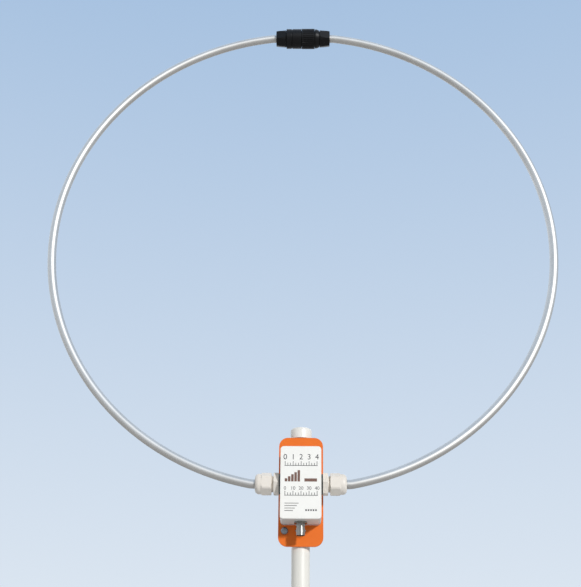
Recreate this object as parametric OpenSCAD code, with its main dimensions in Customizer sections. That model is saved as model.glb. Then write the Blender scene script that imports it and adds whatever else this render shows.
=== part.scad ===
// Small active receiving loop antenna on a pipe mast, in millimetres.
// The origin is the middle of the mast's lower end, +Z runs up the mast and the front faces -Y.

/* [Mast] */
// Outside diameter of the mast pipe
mast_d = 20; // [16:1:24]
// Wall of the mast pipe
mast_wall = 2; // [1.5:0.1:3]
// Length of the mast pipe
mast_len = 500; // [300:10:1500]
// Outside diameter of the end cap
cap_d = 24; // [23:0.5:28]
// Height of the end cap
cap_h = 12.5; // [9:0.5:25]
// Thickness of the end cap's top
cap_top_t = 2.5; // [1.5:0.5:4]
// Rounding of the end cap's top edge
cap_round = 3; // [0.5:0.5:3]
// Gap between the plate's top edge and the end cap's rim
cap_gap = 1; // [0.5:0.5:5]

/* [Plate and clips] */
// Width of the back plate
plate_w = 49; // [48:1:80]
// Height of the back plate
plate_h = 120; // [116:1:160]
// Thickness of the back plate
plate_t = 3; // [2:0.5:5]
// Corner radius of the back plate
plate_r = 10; // [3:1:14]
// Width of a pipe clip's strap, along the mast
clip_w = 12; // [11:1:16]
// Thickness of a pipe clip's strap
clip_t = 2; // [1:0.5:3]
// Distance from a pipe clip's strap to its screw
clip_reach = 5.5; // [5:0.5:7]
// Distance from a clip screw to the end of its tab
clip_tail = 6; // [5:0.5:6.5]
// Height of the lower clip's screw above the plate's lower edge
low_clip_inset = 16.5; // [12:0.5:18]
// Depth of the upper clip's screw below the plate's upper edge
high_clip_inset = 14; // [12:0.5:15]
// Least clearance between a clip screw's head and the case
clip_case_gap = 1.2; // [0.5:0.1:4]
// Diameter of a clip screw
clip_screw_d = 5; // [4:0.5:5]
// Diameter of a clip screw's head
clip_head_d = 8; // [7.5:0.5:9]
// Thickness of a clip screw's head
clip_head_t = 2.6; // [2:0.2:3]
// Width of a clip nut across its flats
clip_nut_af = 8; // [7:0.5:8]
// Thickness of a clip nut
clip_nut_t = 4; // [3:0.5:5]

/* [Case] */
// Width of the case
case_w = 44; // [42:1:48]
// Height of the case
case_h = 78; // [76:1:84]
// Depth of the case, from the plate to its front face
case_d = 36; // [35:1:60]
// Wall of the case
case_wall = 2.4; // [2:0.2:3]
// Corner radius of the case
case_r = 3.5; // [3:0.5:4]
// Thickness of the case's lid
lid_t = 3; // [2:0.5:4]
// Thickness of the gasket under the lid
gasket_t = 1; // [0.6:0.2:1.4]
// Height of the case's middle above the plate's middle
case_rise = 1.75; // [0:0.25:2]
// Outside diameter of the corner posts inside the case
post_d = 7.2; // [6.4:0.2:7.6]
// How far the corner posts sink into the walls, so that post and wall are one moulding
post_sink = 1; // [0.6:0.1:1.4]
// Diameter of a case screw
case_screw_d = 3; // [2.6:0.2:3.4]
// Length of a case screw in its corner post
case_screw_bite = 14; // [8:1:20]
// Diameter of a case screw's head
case_head_d = 5.8; // [5:0.2:6]
// Thickness of a case screw's head
case_head_t = 2.2; // [1.6:0.2:2.4]
// Thickness of the front label
label_t = 0.3; // [0.2:0.1:0.5]
// Margin between the label and the edge of the case's front
label_margin = 0.4; // [0.2:0.1:2]

/* [Circuit] */
// Height of the circuit board
board_h = 64; // [62:1:66]
// Thickness of the circuit board
board_t = 1.6; // [1:0.2:2]
// Gap between the circuit board and each gland's locknut
board_gap = 1.1; // [0.8:0.1:1.5]
// Height of the bosses under the circuit board
boss_h = 3; // [2:0.5:4]
// Diameter of the bosses under the circuit board
boss_d = 5; // [4:0.5:6]
// Distance from a board screw to the board's edges
boss_inset = 3; // [3:0.5:4]
// Diameter of a board screw
board_screw_d = 2; // [1.6:0.2:2.2]
// Diameter of a board screw's head
board_head_d = 3.8; // [3.4:0.2:4]
// Thickness of a board screw's head
board_head_t = 1.5; // [1:0.1:2]
// Width of a transformer
transformer_w = 9; // [6:0.5:10]
// Length of a transformer, up the board
transformer_l = 8; // [6:0.5:9]
// Height of a transformer above the board
transformer_t = 6; // [4:0.5:7]
// Distance from the board's middle to the input transformer's middle
input_rise = 12; // [12:0.5:13]
// Distance from the board's middle down to the output transformer's middle
output_drop = 9; // [8:0.5:10]
// Diameter of a transistor
transistor_d = 4.8; // [4:0.2:5]
// Height of a transistor above the board
transistor_t = 5; // [4:0.5:7]
// Distance from the board's middle to the transistors
transistor_rise = 23; // [22:0.5:24]
// Diameter of a capacitor
capacitor_d = 6; // [5:0.5:6.5]
// Height of a capacitor above the board
capacitor_t = 8; // [6:0.5:11]
// Distance from the board's middle down to the capacitors
capacitor_drop = 21; // [20:0.5:22]
// Half the distance between two like components side by side
pair_half = 6.5; // [5:0.5:7]
// Diameter of a terminal post
terminal_d = 6; // [5:0.5:6]
// Diameter of a terminal screw
terminal_screw_d = 3; // [2.5:0.5:3]
// Diameter of a terminal screw's head
terminal_head_d = 5.5; // [5:0.5:6]
// Thickness of a terminal screw's head
terminal_head_t = 2; // [1.5:0.5:3]
// Gap between a terminal post and the end of its gland's thread
terminal_gap = 0.8; // [0.5:0.1:1.5]
// Distance from a terminal screw to the end of its tube
terminal_inset = 3.5; // [3:0.5:4]
// Diameter of the jack's lead
lead_d = 1; // [0.6:0.1:1.4]

/* [Output jack] */
// Outside diameter of the jack's barrel
jack_d = 9.7; // [9:0.1:10]
// Inside diameter of the jack's barrel
jack_bore_d = 8.1; // [7.5:0.1:8.4]
// Length of the jack's barrel below its flange
jack_len = 12.5; // [11:0.5:15]
// Diameter of the jack's flange
jack_flange_d = 14; // [12:0.5:16]
// Thickness of the jack's flange
jack_flange_t = 1.8; // [1:0.2:3]
// Diameter of a bayonet lug
lug_d = 2; // [1.8:0.1:2.2]
// Distance across the two bayonet lugs
lug_span = 11; // [10.8:0.1:11.5]
// Height of the bayonet lugs above the barrel's tip
lug_rise = 5; // [4:0.5:6]
// Length of the jack's thread inside the case wall
jack_thread_len = 6.5; // [5:0.5:8]
// Depth of the insulator's shoulder above the barrel's tip
insulator_depth = 9; // [8:0.5:10]
// Diameter of the insulator's nose
nose_d = 4.8; // [4:0.2:5]
// Distance from the barrel's tip to the insulator's nose
nose_inset = 1.5; // [1:0.5:3]
// Diameter of the jack's centre contact
contact_d = 2.1; // [1.5:0.1:2.4]
// Length of the centre contact's tail above the thread
contact_tail = 4; // [3:0.5:6]
// Diameter of the jack's toothed washer
jack_washer_d = 15; // [13:0.5:16]
// Thickness of the jack's toothed washer
jack_washer_t = 0.8; // [0.5:0.1:1]
// Width of the jack's nut across its flats
jack_nut_af = 14; // [12:0.5:15]
// Thickness of the jack's nut
jack_nut_t = 2.5; // [2:0.5:3]

/* [Glands] */
// Height of the gland axis above the case's middle
gland_rise = 1.5; // [0:0.5:3]
// Thickness of the rubber washer between a gland and the case
gland_washer_t = 1.8; // [1:0.2:3]
// Thickness of a gland's hexagon
gland_hex_t = 5.6; // [4:0.2:8]
// Gap of bare thread between a gland's hexagon and its nut
gland_nut_gap = 2.3; // [0.5:0.1:4]
// Length of the hexagon of a gland's domed nut
gland_nut_hex_len = 11; // [8:0.5:14]
// Length of the dome of a gland's nut
gland_dome_len = 7; // [6:0.5:10]
// Rounding of the dome of a gland's nut
gland_dome_round = 4.5; // [2:0.5:5]
// Length of a gland's neck under its nut
gland_neck_len = 11; // [8:0.5:12]
// Depth of the seal's seat in a gland's neck
gland_seat_depth = 9; // [6:0.5:10]
// Length of a gland's thread, from its washer to its inner end
gland_thread_len = 10; // [9:0.5:11]
// Thickness of a gland's locknut
locknut_t = 5; // [4:0.5:5]
// Rubber wall of a seal around its tube
seal_wall = 2.2; // [2:0.1:2.4]
// Rubber wall of a seal's nose, in the mouth of its nut
nose_wall = 1.2; // [0.8:0.1:1.4]
// Wall of a gland's neck outside its seal
neck_wall = 1.6; // [1.2:0.1:2]
// Step from a gland's neck out to its thread
thread_step = 0.5; // [0.2:0.1:1]
// Wall of a gland's nut outside the neck, at its flats
nut_wall = 2.2; // [1.8:0.1:2.4]

/* [Loop] */
// Radius of the loop, at the middle of its tube
loop_r = 300; // [200:5:500]
// Outside diameter of the loop's tube
tube_d = 10; // [9:0.5:10.5]
// Wall of the loop's tube
tube_wall = 1; // [0.8:0.1:1.5]
// Radius of the short bend between the loop and each straight tube end
end_bend_r = 35; // [25:1:60]

/* [Coupler] */
// Diameter of the coupling ring
ring_d = 26; // [25.5:0.5:30]
// Length of the coupling ring
ring_len = 17; // [14:0.1:19]
// Number of grip flutes round the coupling ring
ring_flutes = 30; // [16:2:36]
// Diameter of a grip flute
flute_d = 1.2; // [0.8:0.1:1.4]
// Diameter of the plug's shell
plug_d = 25.4; // [24:0.2:26]
// Length of the plug's shell
plug_len = 19.5; // [18:0.5:24]
// Diameter of the socket's collar
collar_d = 24.4; // [23:0.2:26]
// Length of the socket's collar
collar_len = 6.1; // [4:0.1:8]
// Taper along the socket's collar
collar_taper = 1.6; // [0.5:0.1:2]
// Diameter of the thread under the coupling ring
barrel_d = 20; // [19:0.5:21]
// Wall of the shells under the coupling ring
barrel_wall = 2.8; // [2.4:0.1:3]
// Width of the groove round the plug's shell
groove_w = 1.2; // [0.6:0.1:2]
// Depth of the groove round the plug's shell
groove_depth = 0.7; // [0.3:0.1:1]
// Distance from the plug's outer end to its groove
groove_inset = 6.6; // [3:0.2:10]
// Thickness of the sealing ring between the shells
o_ring_t = 1; // [0.8:0.1:1.5]
// Distance from the sealing ring to the inner and outer edges of the shells' ends
o_ring_inset = 0.3; // [0.1:0.1:0.6]
// Length of an end nut
end_nut_len = 13.1; // [12:0.1:16]
// Wall of an end nut outside its neck, at its flats
end_nut_wall = 1.2; // [1:0.1:2]
// Thickness of an end nut's outer wall
end_nut_face_t = 2; // [1.5:0.5:3]
// Rounding of an end nut's outer end
end_nut_round = 2; // [1:0.5:3]
// Depth of the seal's seat in each shell
shell_seat_depth = 10; // [6:0.5:11]
// Distance from each seal's seat to the end of its tube
tube_guide_len = 11; // [6:0.5:11]
// Thickness of a contact's flange
contact_flange_t = 3; // [2:0.5:3.5]
// Length of a contact's shank in its tube
shank_len = 10; // [6:1:14]
// Diameter of the contact pin
pin_d = 5; // [3:0.5:5]
// Wall of the contact sleeve
sleeve_wall = 1.7; // [1:0.1:2]
// Length of the pin inside the sleeve
pin_grip = 9; // [6:0.5:10]
// Gap between the pin's tip and the sleeve's flange
pin_gap = 2; // [1:0.5:3]

/* [Fits] */
// Radial clearance of a turning fit
turn_fit = 0.05; // [0.02:0.01:0.08]
// Radial clearance of a fixed fit
push_fit = 0.03; // [0.01:0.01:0.06]
// Radial clearance of a screw in a plain hole
hole_fit = 0.2; // [0.1:0.05:0.3]
// Radial clearance of a tube in a gland
tube_slip = 0.5; // [0.2:0.1:0.6]
// Gap between pieces that turn past each other end to end
end_gap = 0.3; // [0.2:0.1:0.5]

/* [Hidden] */
$fn = 64;

// How far a cutter runs past the face it cuts
over = 1;
// Least rounding of an inside corner
least_round = 0.3;

// Mast and plate, from the mast's axis forwards and from its foot upwards
mast_r = mast_d / 2;
strap_in_r = mast_r + turn_fit;
strap_out_r = strap_in_r + clip_t;
plate_back_y = -strap_in_r;
plate_front_y = plate_back_y - plate_t;
plate_top_z = mast_len + cap_top_t - cap_h - cap_gap;
plate_low_z = plate_top_z - plate_h;
plate_z = plate_top_z - plate_h / 2;

// Case, from the plate forwards
case_z = plate_z + case_rise;
case_low_z = case_z - case_h / 2;
case_top_z = case_z + case_h / 2;
lid_front_y = plate_front_y - lid_t;
rim_y = lid_front_y - gasket_t;
front_y = plate_front_y - case_d;
front_inner_y = front_y + case_wall;
hollow_r = max(case_r - case_wall, least_round);
case_post_x = case_w / 2 - case_wall - post_d / 2 + post_sink;
case_post_z = case_h / 2 - case_wall - post_d / 2 + post_sink;

// Clip screws, on the plate above and below the case
clip_screw_x = -(strap_out_r + clip_reach);
clip_clear = clip_head_d / 2 + clip_case_gap;
clip_zs = [
    max(plate_top_z - high_clip_inset, case_top_z + clip_clear),
    min(plate_low_z + low_clip_inset, case_low_z - clip_clear)
];

// Gland and loop plane, in the middle of the case's hollow
loop_y = (lid_front_y + front_inner_y) / 2;
gland_z = case_z + gland_rise;

// Gland, from its tube outwards and from the case's wall outwards
tube_r = tube_d / 2;
seat_r = tube_r + seal_wall;
neck_r = seat_r + neck_wall;
thread_r = neck_r + thread_step;
gland_af = 2 * (neck_r + nut_wall);
gland_bore_r = tube_r + tube_slip;
mouth_r = tube_r + nose_wall + end_gap;
wall_x = case_w / 2;
flange_x = wall_x + gland_washer_t;
neck_x = flange_x + gland_hex_t;
neck_end_x = neck_x + gland_neck_len;
nut_x = neck_x + gland_nut_gap;
nut_dome_x = nut_x + gland_nut_hex_len;
nut_end_x = nut_dome_x + gland_dome_len;
seat_x = neck_end_x - gland_seat_depth;
stub_x = flange_x - gland_thread_len;
locknut_x = wall_x - case_wall - locknut_t;

// Circuit board, on the bosses behind the front face
board_w = 2 * (locknut_x - board_gap);
board_front_y = front_inner_y + boss_h;
board_back_y = board_front_y + board_t;
boss_x = board_w / 2 - boss_inset;
boss_z = board_h / 2 - boss_inset;
terminal_x = stub_x - terminal_gap - terminal_d / 2;
tube_end_x = terminal_x - terminal_inset;

// Output jack, from the underside of the case
jack_flange_z = case_low_z - jack_flange_t;
jack_tip_z = jack_flange_z - jack_len;
jack_thread_r = jack_d / 2 - push_fit;
jack_top_z = case_low_z + case_wall + jack_thread_len;
contact_top_z = jack_top_z + contact_tail;
lead_z = contact_top_z - lead_d;

// Coupler, from its left end to its right
coupler_len = 2 * end_nut_len + plug_len + ring_len + collar_len + 4 * end_gap;
coupler_half = coupler_len / 2;
end_nut_x = coupler_half - end_nut_len;
plug_end_x = -end_nut_x + end_gap;
plug_face_x = plug_end_x + plug_len;
ring_start_x = plug_face_x + end_gap;
ring_end_x = ring_start_x + ring_len;
collar_x = ring_end_x + end_gap;
socket_end_x = collar_x + collar_len;
joint_x = (ring_start_x + ring_end_x) / 2;
socket_face_x = joint_x + o_ring_t;
groove_x = plug_end_x + groove_inset;
barrel_r = barrel_d / 2;
cavity_r = barrel_r - barrel_wall;
end_neck_x = coupler_half - end_nut_face_t - 2 * end_gap;
end_seat_x = end_neck_x - shell_seat_depth;
tube_top_x = end_seat_x - tube_guide_len;
end_nut_af = 2 * (neck_r + end_nut_wall);
flange_in_x = tube_top_x - contact_flange_t;
pin_tip_x = flange_in_x - pin_gap;
sleeve_x = pin_tip_x - pin_grip;
pin_r = pin_d / 2;
shank_r = tube_r - tube_wall - push_fit;

// Loop: straight ends in the glands and the coupler, a short bend at each, and the round between them.
// A bend turns by whole half degrees, so each straight end runs on a little way past its nut.
bend_axis_r = loop_r - end_bend_r;
function bend_turn(x) = ceil(2 * asin(x / bend_axis_r)) / 2;
low_turn = bend_turn(nut_end_x);
low_bend_x = bend_axis_r * sin(low_turn);
low_bend_z = -bend_axis_r * cos(low_turn);
top_turn = bend_turn(coupler_half);
top_bend_x = bend_axis_r * sin(top_turn);
top_bend_z = bend_axis_r * cos(top_turn);
loop_z = gland_z + end_bend_r - low_bend_z;
coupler_z = loop_z + end_bend_r + top_bend_z;

// Shapes used by more than one piece

module rounded_rectangle(w, h, r) {
    square([w - 2 * r, h], center = true);
    square([w, h - 2 * r], center = true);
    for (x = [-1, 1], z = [-1, 1]) {
        translate([x * (w / 2 - r), z * (h / 2 - r)]) circle(r = r);
    }
}

// A flat outline in X and Z, given its thickness from y_back forwards
module slab(y_back, t) {
    translate([0, y_back, 0]) rotate([90, 0, 0]) linear_extrude(t) children();
}

// A round bar along X, between two places on it
module bar_x(x0, x1, r) {
    translate([x0, 0, 0]) rotate([0, 90, 0]) cylinder(h = x1 - x0, r = r);
}

// A round bar along Y, between two places on it
module bar_y(y0, y1, r) {
    translate([0, y1, 0]) rotate([90, 0, 0]) cylinder(h = y1 - y0, r = r);
}

// A ring along X, between two places on it
module ring_x(x0, x1, r_out, r_in) {
    difference() {
        bar_x(x0, x1, r_out);
        bar_x(x0 - over, x1 + over, r_in);
    }
}

// A hexagonal bar along X with its corners up and down, or its flats
module hex_x(x0, x1, af, flats_up = false) {
    translate([x0, 0, 0]) rotate([0, 90, 0]) rotate([0, 0, flats_up ? 30 : 0])
        cylinder(h = x1 - x0, d = af / cos(30), $fn = 6);
}

// A round bar along X whose outer end is rounded
module round_end_x(x0, x1, r, round) {
    length = x1 - x0;
    translate([x0, 0, 0]) rotate([0, 90, 0]) rotate_extrude() {
        square([r - round, length]);
        square([r, length - round]);
        translate([r - round, length - round]) intersection() {
            circle(r = round);
            square(round);
        }
    }
}

// A pan-head screw along Y: its head's seat is at y = 0, and its shank runs towards +Y
module pan_screw(d, length, head_d, head_t) {
    edge = head_t / 2;
    bar_y(0, length, d / 2);
    rotate([90, 0, 0]) rotate_extrude() {
        square([head_d / 2 - edge, head_t]);
        square([head_d / 2, head_t - edge]);
        translate([head_d / 2 - edge, head_t - edge]) intersection() {
            circle(r = edge);
            square(edge);
        }
    }
}

module at_gland() {
    translate([0, loop_y, gland_z]) children();
}

module at_left() {
    mirror([1, 0, 0]) children();
}

module at_coupler() {
    translate([0, loop_y, coupler_z]) children();
}

module at_case_screws() {
    for (x = [-1, 1], z = [-1, 1]) {
        translate([x * case_post_x, 0, case_z + z * case_post_z]) children();
    }
}

module at_board_screws() {
    for (x = [-1, 1], z = [-1, 1]) {
        translate([x * boss_x, 0, case_z + z * boss_z]) children();
    }
}

module at_clip_screws() {
    for (z = clip_zs) {
        translate([clip_screw_x, 0, z]) children();
    }
}

// Mast

module mast_pipe() {
    color("white") difference() {
        cylinder(h = mast_len, r = mast_r);
        translate([0, 0, -over]) cylinder(h = mast_len + 2 * over, r = mast_r - mast_wall);
    }
}

module mast_cap() {
    rim_z = mast_len + cap_top_t - cap_h;
    color("white") translate([0, 0, rim_z]) difference() {
        rotate_extrude() {
            square([cap_d / 2 - cap_round, cap_h]);
            square([cap_d / 2, cap_h - cap_round]);
            translate([cap_d / 2 - cap_round, cap_h - cap_round]) intersection() {
                circle(r = cap_round);
                square(cap_round);
            }
        }
        translate([0, 0, -over]) cylinder(h = cap_h - cap_top_t + over, r = mast_r + push_fit);
    }
}

// Plate and clips

module back_plate() {
    color("darkorange") difference() {
        slab(plate_back_y, plate_t)
            translate([0, plate_z]) rounded_rectangle(plate_w, plate_h, plate_r);
        at_clip_screws() bar_y(plate_front_y - over, plate_back_y + over, clip_screw_d / 2 + hole_fit);
        at_case_screws() bar_y(plate_front_y - over, plate_back_y + over, case_screw_d / 2 + hole_fit);
    }
}

// A strap of one clip: round the back of the pipe, with a tab on the left and a free end on the right
module pipe_clip(z) {
    tab_x = clip_screw_x - clip_tail;
    color("gainsboro") difference() {
        translate([0, 0, z - clip_w / 2]) linear_extrude(clip_w) difference() {
            union() {
                intersection() {
                    circle(r = strap_out_r);
                    translate([-strap_out_r, plate_back_y]) square([2 * strap_out_r, strap_out_r - plate_back_y]);
                }
                translate([-strap_out_r, plate_back_y]) square([2 * strap_out_r, -plate_back_y]);
                translate([tab_x, plate_back_y]) square([-strap_in_r - tab_x, clip_t]);
            }
            circle(r = strap_in_r);
            translate([-strap_in_r, plate_back_y - over]) square([2 * strap_in_r, over - plate_back_y]);
        }
        translate([clip_screw_x, 0, z])
            bar_y(plate_back_y - over, plate_back_y + clip_t + over, clip_screw_d / 2 + hole_fit);
    }
}

module upper_clip() {
    pipe_clip(clip_zs[0]);
}

module lower_clip() {
    pipe_clip(clip_zs[1]);
}

module clip_screws() {
    length = plate_t + clip_t + clip_nut_t + over;
    color("silver") at_clip_screws()
        translate([0, plate_front_y, 0]) pan_screw(clip_screw_d, length, clip_head_d, clip_head_t);
}

module clip_nuts() {
    color("silver") at_clip_screws()
        translate([0, plate_back_y + clip_t, 0]) difference() {
            rotate([-90, 0, 0]) cylinder(h = clip_nut_t, d = clip_nut_af / cos(30), $fn = 6);
            bar_y(-over, clip_nut_t + over, clip_screw_d / 2 + push_fit);
        }
}

// Case

module case_outline() {
    translate([0, case_z]) rounded_rectangle(case_w, case_h, case_r);
}

module case_hollow() {
    translate([0, case_z])
        rounded_rectangle(case_w - 2 * case_wall, case_h - 2 * case_wall, hollow_r);
}

// The walls and corner posts, as they meet the gasket
module rim_outline() {
    difference() {
        case_outline();
        case_hollow();
    }
    intersection() {
        case_outline();
        for (x = [-1, 1], z = [-1, 1]) {
            translate([x * case_post_x, case_z + z * case_post_z]) circle(d = post_d);
        }
    }
}

module gland_hole() {
    bar_x(wall_x - case_wall - over, wall_x + over, thread_r + hole_fit);
}

module case_tray() {
    color("whitesmoke") difference() {
        union() {
            slab(front_inner_y, case_wall) case_outline();
            slab(rim_y, rim_y - front_inner_y) rim_outline();
            at_board_screws() bar_y(front_inner_y, board_front_y, boss_d / 2);
        }
        at_case_screws() bar_y(rim_y - case_screw_bite - over, rim_y + over, case_screw_d / 2 + push_fit);
        at_board_screws() bar_y(front_inner_y, board_front_y + over, board_screw_d / 2 + push_fit);
        at_gland() {
            gland_hole();
            at_left() gland_hole();
        }
        translate([0, loop_y, case_low_z - over])
            cylinder(h = case_wall + 2 * over, r = jack_thread_r + hole_fit);
    }
}

module case_gasket() {
    color("dimgray") difference() {
        slab(lid_front_y, gasket_t) rim_outline();
        at_case_screws() bar_y(rim_y - over, lid_front_y + over, case_screw_d / 2 + hole_fit);
    }
}

module case_lid() {
    color("whitesmoke") difference() {
        slab(plate_front_y, lid_t) case_outline();
        at_case_screws() bar_y(lid_front_y - over, plate_front_y + over, case_screw_d / 2 + hole_fit);
    }
}

module case_screws() {
    length = plate_t + lid_t + gasket_t + case_screw_bite;
    color("silver") at_case_screws()
        translate([0, plate_back_y, 0]) rotate([0, 0, 180])
            pan_screw(case_screw_d, length, case_head_d, case_head_t);
}

module front_label() {
    color("white") slab(front_y, label_t) translate([0, case_z])
        rounded_rectangle(case_w - 2 * label_margin, case_h - 2 * label_margin, case_r - label_margin);
}

// Circuit

module circuit_board() {
    color("darkgreen") difference() {
        slab(board_back_y, board_t) translate([0, case_z]) square([board_w, board_h], center = true);
        at_board_screws() bar_y(board_front_y - over, board_back_y + over, board_screw_d / 2 + hole_fit);
    }
}

module board_screws() {
    color("silver") at_board_screws()
        translate([0, board_back_y, 0]) rotate([0, 0, 180])
            pan_screw(board_screw_d, board_t + boss_h - end_gap, board_head_d, board_head_t);
}

module transformer(z) {
    color("black") slab(board_back_y + transformer_t, transformer_t)
        translate([0, z]) square([transformer_w, transformer_l], center = true);
}

module input_transformer() {
    transformer(case_z + input_rise);
}

module output_transformer() {
    transformer(case_z - output_drop);
}

module transistors() {
    color("black") for (side = [-1, 1]) {
        translate([side * pair_half, 0, case_z + transistor_rise])
            bar_y(board_back_y, board_back_y + transistor_t, transistor_d / 2);
    }
}

module capacitors() {
    color("navy") for (side = [-1, 1]) {
        translate([side * pair_half, 0, case_z - capacitor_drop])
            bar_y(board_back_y, board_back_y + capacitor_t, capacitor_d / 2);
    }
}

// The tube ends are screwed to these posts, which carry the signal to the board
module terminal_posts() {
    post_end_y = loop_y - tube_r - push_fit;
    color("goldenrod") for (side = [-1, 1]) {
        translate([side * terminal_x, 0, gland_z]) difference() {
            bar_y(board_back_y, post_end_y, terminal_d / 2);
            bar_y(board_back_y + over, post_end_y + over, terminal_screw_d / 2 + push_fit);
        }
    }
}

module terminal_screws() {
    head_y = loop_y + tube_r + push_fit;
    length = head_y - board_back_y - 2 * over;
    color("silver") for (side = [-1, 1]) {
        translate([side * terminal_x, head_y, gland_z]) rotate([0, 0, 180])
            pan_screw(terminal_screw_d, length, terminal_head_d, terminal_head_t);
    }
}

module jack_lead() {
    color("red") translate([0, 0, lead_z])
        bar_y(board_back_y, loop_y - contact_d / 2, lead_d / 2);
}

// Output jack

module jack_shell() {
    color("silver") translate([0, loop_y, 0]) difference() {
        union() {
            translate([0, 0, jack_tip_z]) cylinder(h = jack_len, r = jack_d / 2);
            translate([0, 0, jack_flange_z]) cylinder(h = jack_flange_t, r = jack_flange_d / 2);
            translate([0, 0, case_low_z]) cylinder(h = case_wall + jack_thread_len, r = jack_thread_r);
            translate([0, 0, jack_tip_z + lug_rise]) bar_x(-lug_span / 2, lug_span / 2, lug_d / 2);
        }
        translate([0, 0, jack_tip_z - over])
            cylinder(h = jack_top_z - jack_tip_z + 2 * over, r = jack_bore_d / 2);
    }
}

module jack_insulator() {
    shoulder_z = jack_tip_z + insulator_depth;
    nose_z = jack_tip_z + nose_inset;
    color("white") translate([0, loop_y, 0]) difference() {
        union() {
            translate([0, 0, shoulder_z]) cylinder(h = jack_top_z - shoulder_z, r = jack_bore_d / 2 - push_fit);
            translate([0, 0, nose_z]) cylinder(h = shoulder_z - nose_z, r = nose_d / 2);
        }
        translate([0, 0, nose_z - over])
            cylinder(h = jack_top_z - nose_z + 2 * over, r = contact_d / 2 + push_fit);
    }
}

module jack_contact() {
    start_z = jack_tip_z + nose_inset;
    color("gold") translate([0, loop_y, start_z]) cylinder(h = contact_top_z - start_z, r = contact_d / 2);
}

module jack_washer() {
    color("silver") translate([0, loop_y, case_low_z + case_wall]) difference() {
        cylinder(h = jack_washer_t, r = jack_washer_d / 2);
        translate([0, 0, -over]) cylinder(h = jack_washer_t + 2 * over, r = jack_thread_r + hole_fit);
    }
}

module jack_nut() {
    color("silver") translate([0, loop_y, case_low_z + case_wall + jack_washer_t]) difference() {
        cylinder(h = jack_nut_t, d = jack_nut_af / cos(30), $fn = 6);
        translate([0, 0, -over]) cylinder(h = jack_nut_t + 2 * over, r = jack_thread_r + push_fit);
    }
}

// Glands, each made for the right side and mirrored for the left

module gland_washer() {
    color("black") at_gland() ring_x(wall_x, flange_x, gland_af / 2, thread_r + hole_fit);
}

module gland_body() {
    color("ivory") at_gland() difference() {
        union() {
            bar_x(stub_x, neck_x - over, thread_r);
            hex_x(flange_x, neck_x, gland_af, true);
            bar_x(flange_x, neck_end_x, neck_r);
        }
        bar_x(stub_x - over, seat_x + over, gland_bore_r);
        bar_x(seat_x, neck_end_x + over, seat_r);
    }
}

// The seal's nose fills the nut's mouth, where it shows as a dark ring round the tube
module gland_seal() {
    color("black") at_gland() difference() {
        union() {
            bar_x(seat_x, neck_end_x, seat_r - push_fit);
            bar_x(neck_end_x, nut_end_x - end_gap, tube_r + nose_wall);
        }
        bar_x(seat_x - over, nut_end_x + over, tube_r + push_fit);
    }
}

module gland_locknut() {
    color("ivory") at_gland() difference() {
        hex_x(locknut_x, locknut_x + locknut_t, gland_af);
        bar_x(locknut_x - over, locknut_x + locknut_t + over, thread_r + push_fit);
    }
}

module gland_nut() {
    hex_edge = gland_af / 2 + nut_wall / 2;
    color("ivory") at_gland() difference() {
        union() {
            intersection() {
                hex_x(nut_x, nut_dome_x, gland_af);
                round_end_x(nut_x, nut_dome_x, hex_edge, nut_wall / 2);
            }
            round_end_x(nut_dome_x - over, nut_end_x, gland_af / 2 - push_fit, gland_dome_round);
        }
        bar_x(nut_x - over, neck_end_x + end_gap, neck_r + turn_fit);
        bar_x(neck_end_x, nut_end_x + over, mouth_r);
    }
}

module left_gland_washer() {
    at_left() gland_washer();
}

module left_gland_body() {
    at_left() gland_body();
}

module left_gland_seal() {
    at_left() gland_seal();
}

module left_gland_locknut() {
    at_left() gland_locknut();
}

module left_gland_nut() {
    at_left() gland_nut();
}

module right_gland_washer() {
    gland_washer();
}

module right_gland_body() {
    gland_body();
}

module right_gland_seal() {
    gland_seal();
}

module right_gland_locknut() {
    gland_locknut();
}

module right_gland_nut() {
    gland_nut();
}

// Loop

module tube_section() {
    difference() {
        circle(r = tube_r);
        circle(r = tube_r - tube_wall);
    }
}

// A stretch of tube round an arc in the loop's plane, from a starting angle
module tube_arc(r, start, turn) {
    rotate([90, 0, 0]) rotate_extrude(angle = turn, start = start, $fn = 180)
        translate([r, 0]) tube_section();
}

// A straight stretch of tube along X that ends at x = 0
module tube_straight(length) {
    translate([-length, 0, 0]) rotate([0, 90, 0]) linear_extrude(length) tube_section();
}

// Moves by whole millimetres and then by the rest, which places a bend exactly on the end of the arc beside it
module exactly_at(x, z) {
    translate([round(x), 0, round(z)]) translate([x - round(x), 0, z - round(z)]) children();
}

// A half of the loop about the loop's middle, on the right; turned round, it is the left half
module half_loop() {
    color("silver") difference() {
        union() {
            exactly_at(low_bend_x, low_bend_z) {
                translate([0, 0, -end_bend_r]) tube_straight(low_bend_x - tube_end_x);
                tube_arc(end_bend_r, -90, low_turn);
            }
            tube_arc(loop_r, low_turn - 90, 180 - low_turn - top_turn);
            exactly_at(top_bend_x, top_bend_z) {
                tube_arc(end_bend_r, 90 - top_turn, top_turn);
                translate([0, 0, end_bend_r]) tube_straight(top_bend_x - tube_top_x);
            }
        }
        translate([terminal_x, 0, gland_z - loop_z])
            bar_y(-tube_r - over, tube_r + over, terminal_screw_d / 2 + hole_fit);
    }
}

module left_tube() {
    translate([0, loop_y, loop_z]) rotate([0, 0, 180]) half_loop();
}

module right_tube() {
    translate([0, loop_y, loop_z]) half_loop();
}

// Coupler: two shells screwed together by the ring, each with its seal and end nut

// What each shell has at its outer end, for the right side
module end_neck() {
    bar_x(end_nut_x - end_gap, end_neck_x, neck_r);
}

// The hollow through each shell, for the right side, from its seal's seat to its face
module shell_hollow(face_x) {
    bar_x(end_seat_x, end_neck_x + over, seat_r);
    bar_x(tube_top_x - over, end_seat_x + over, tube_r + hole_fit);
    bar_x(face_x - over, tube_top_x, cavity_r);
}

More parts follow.
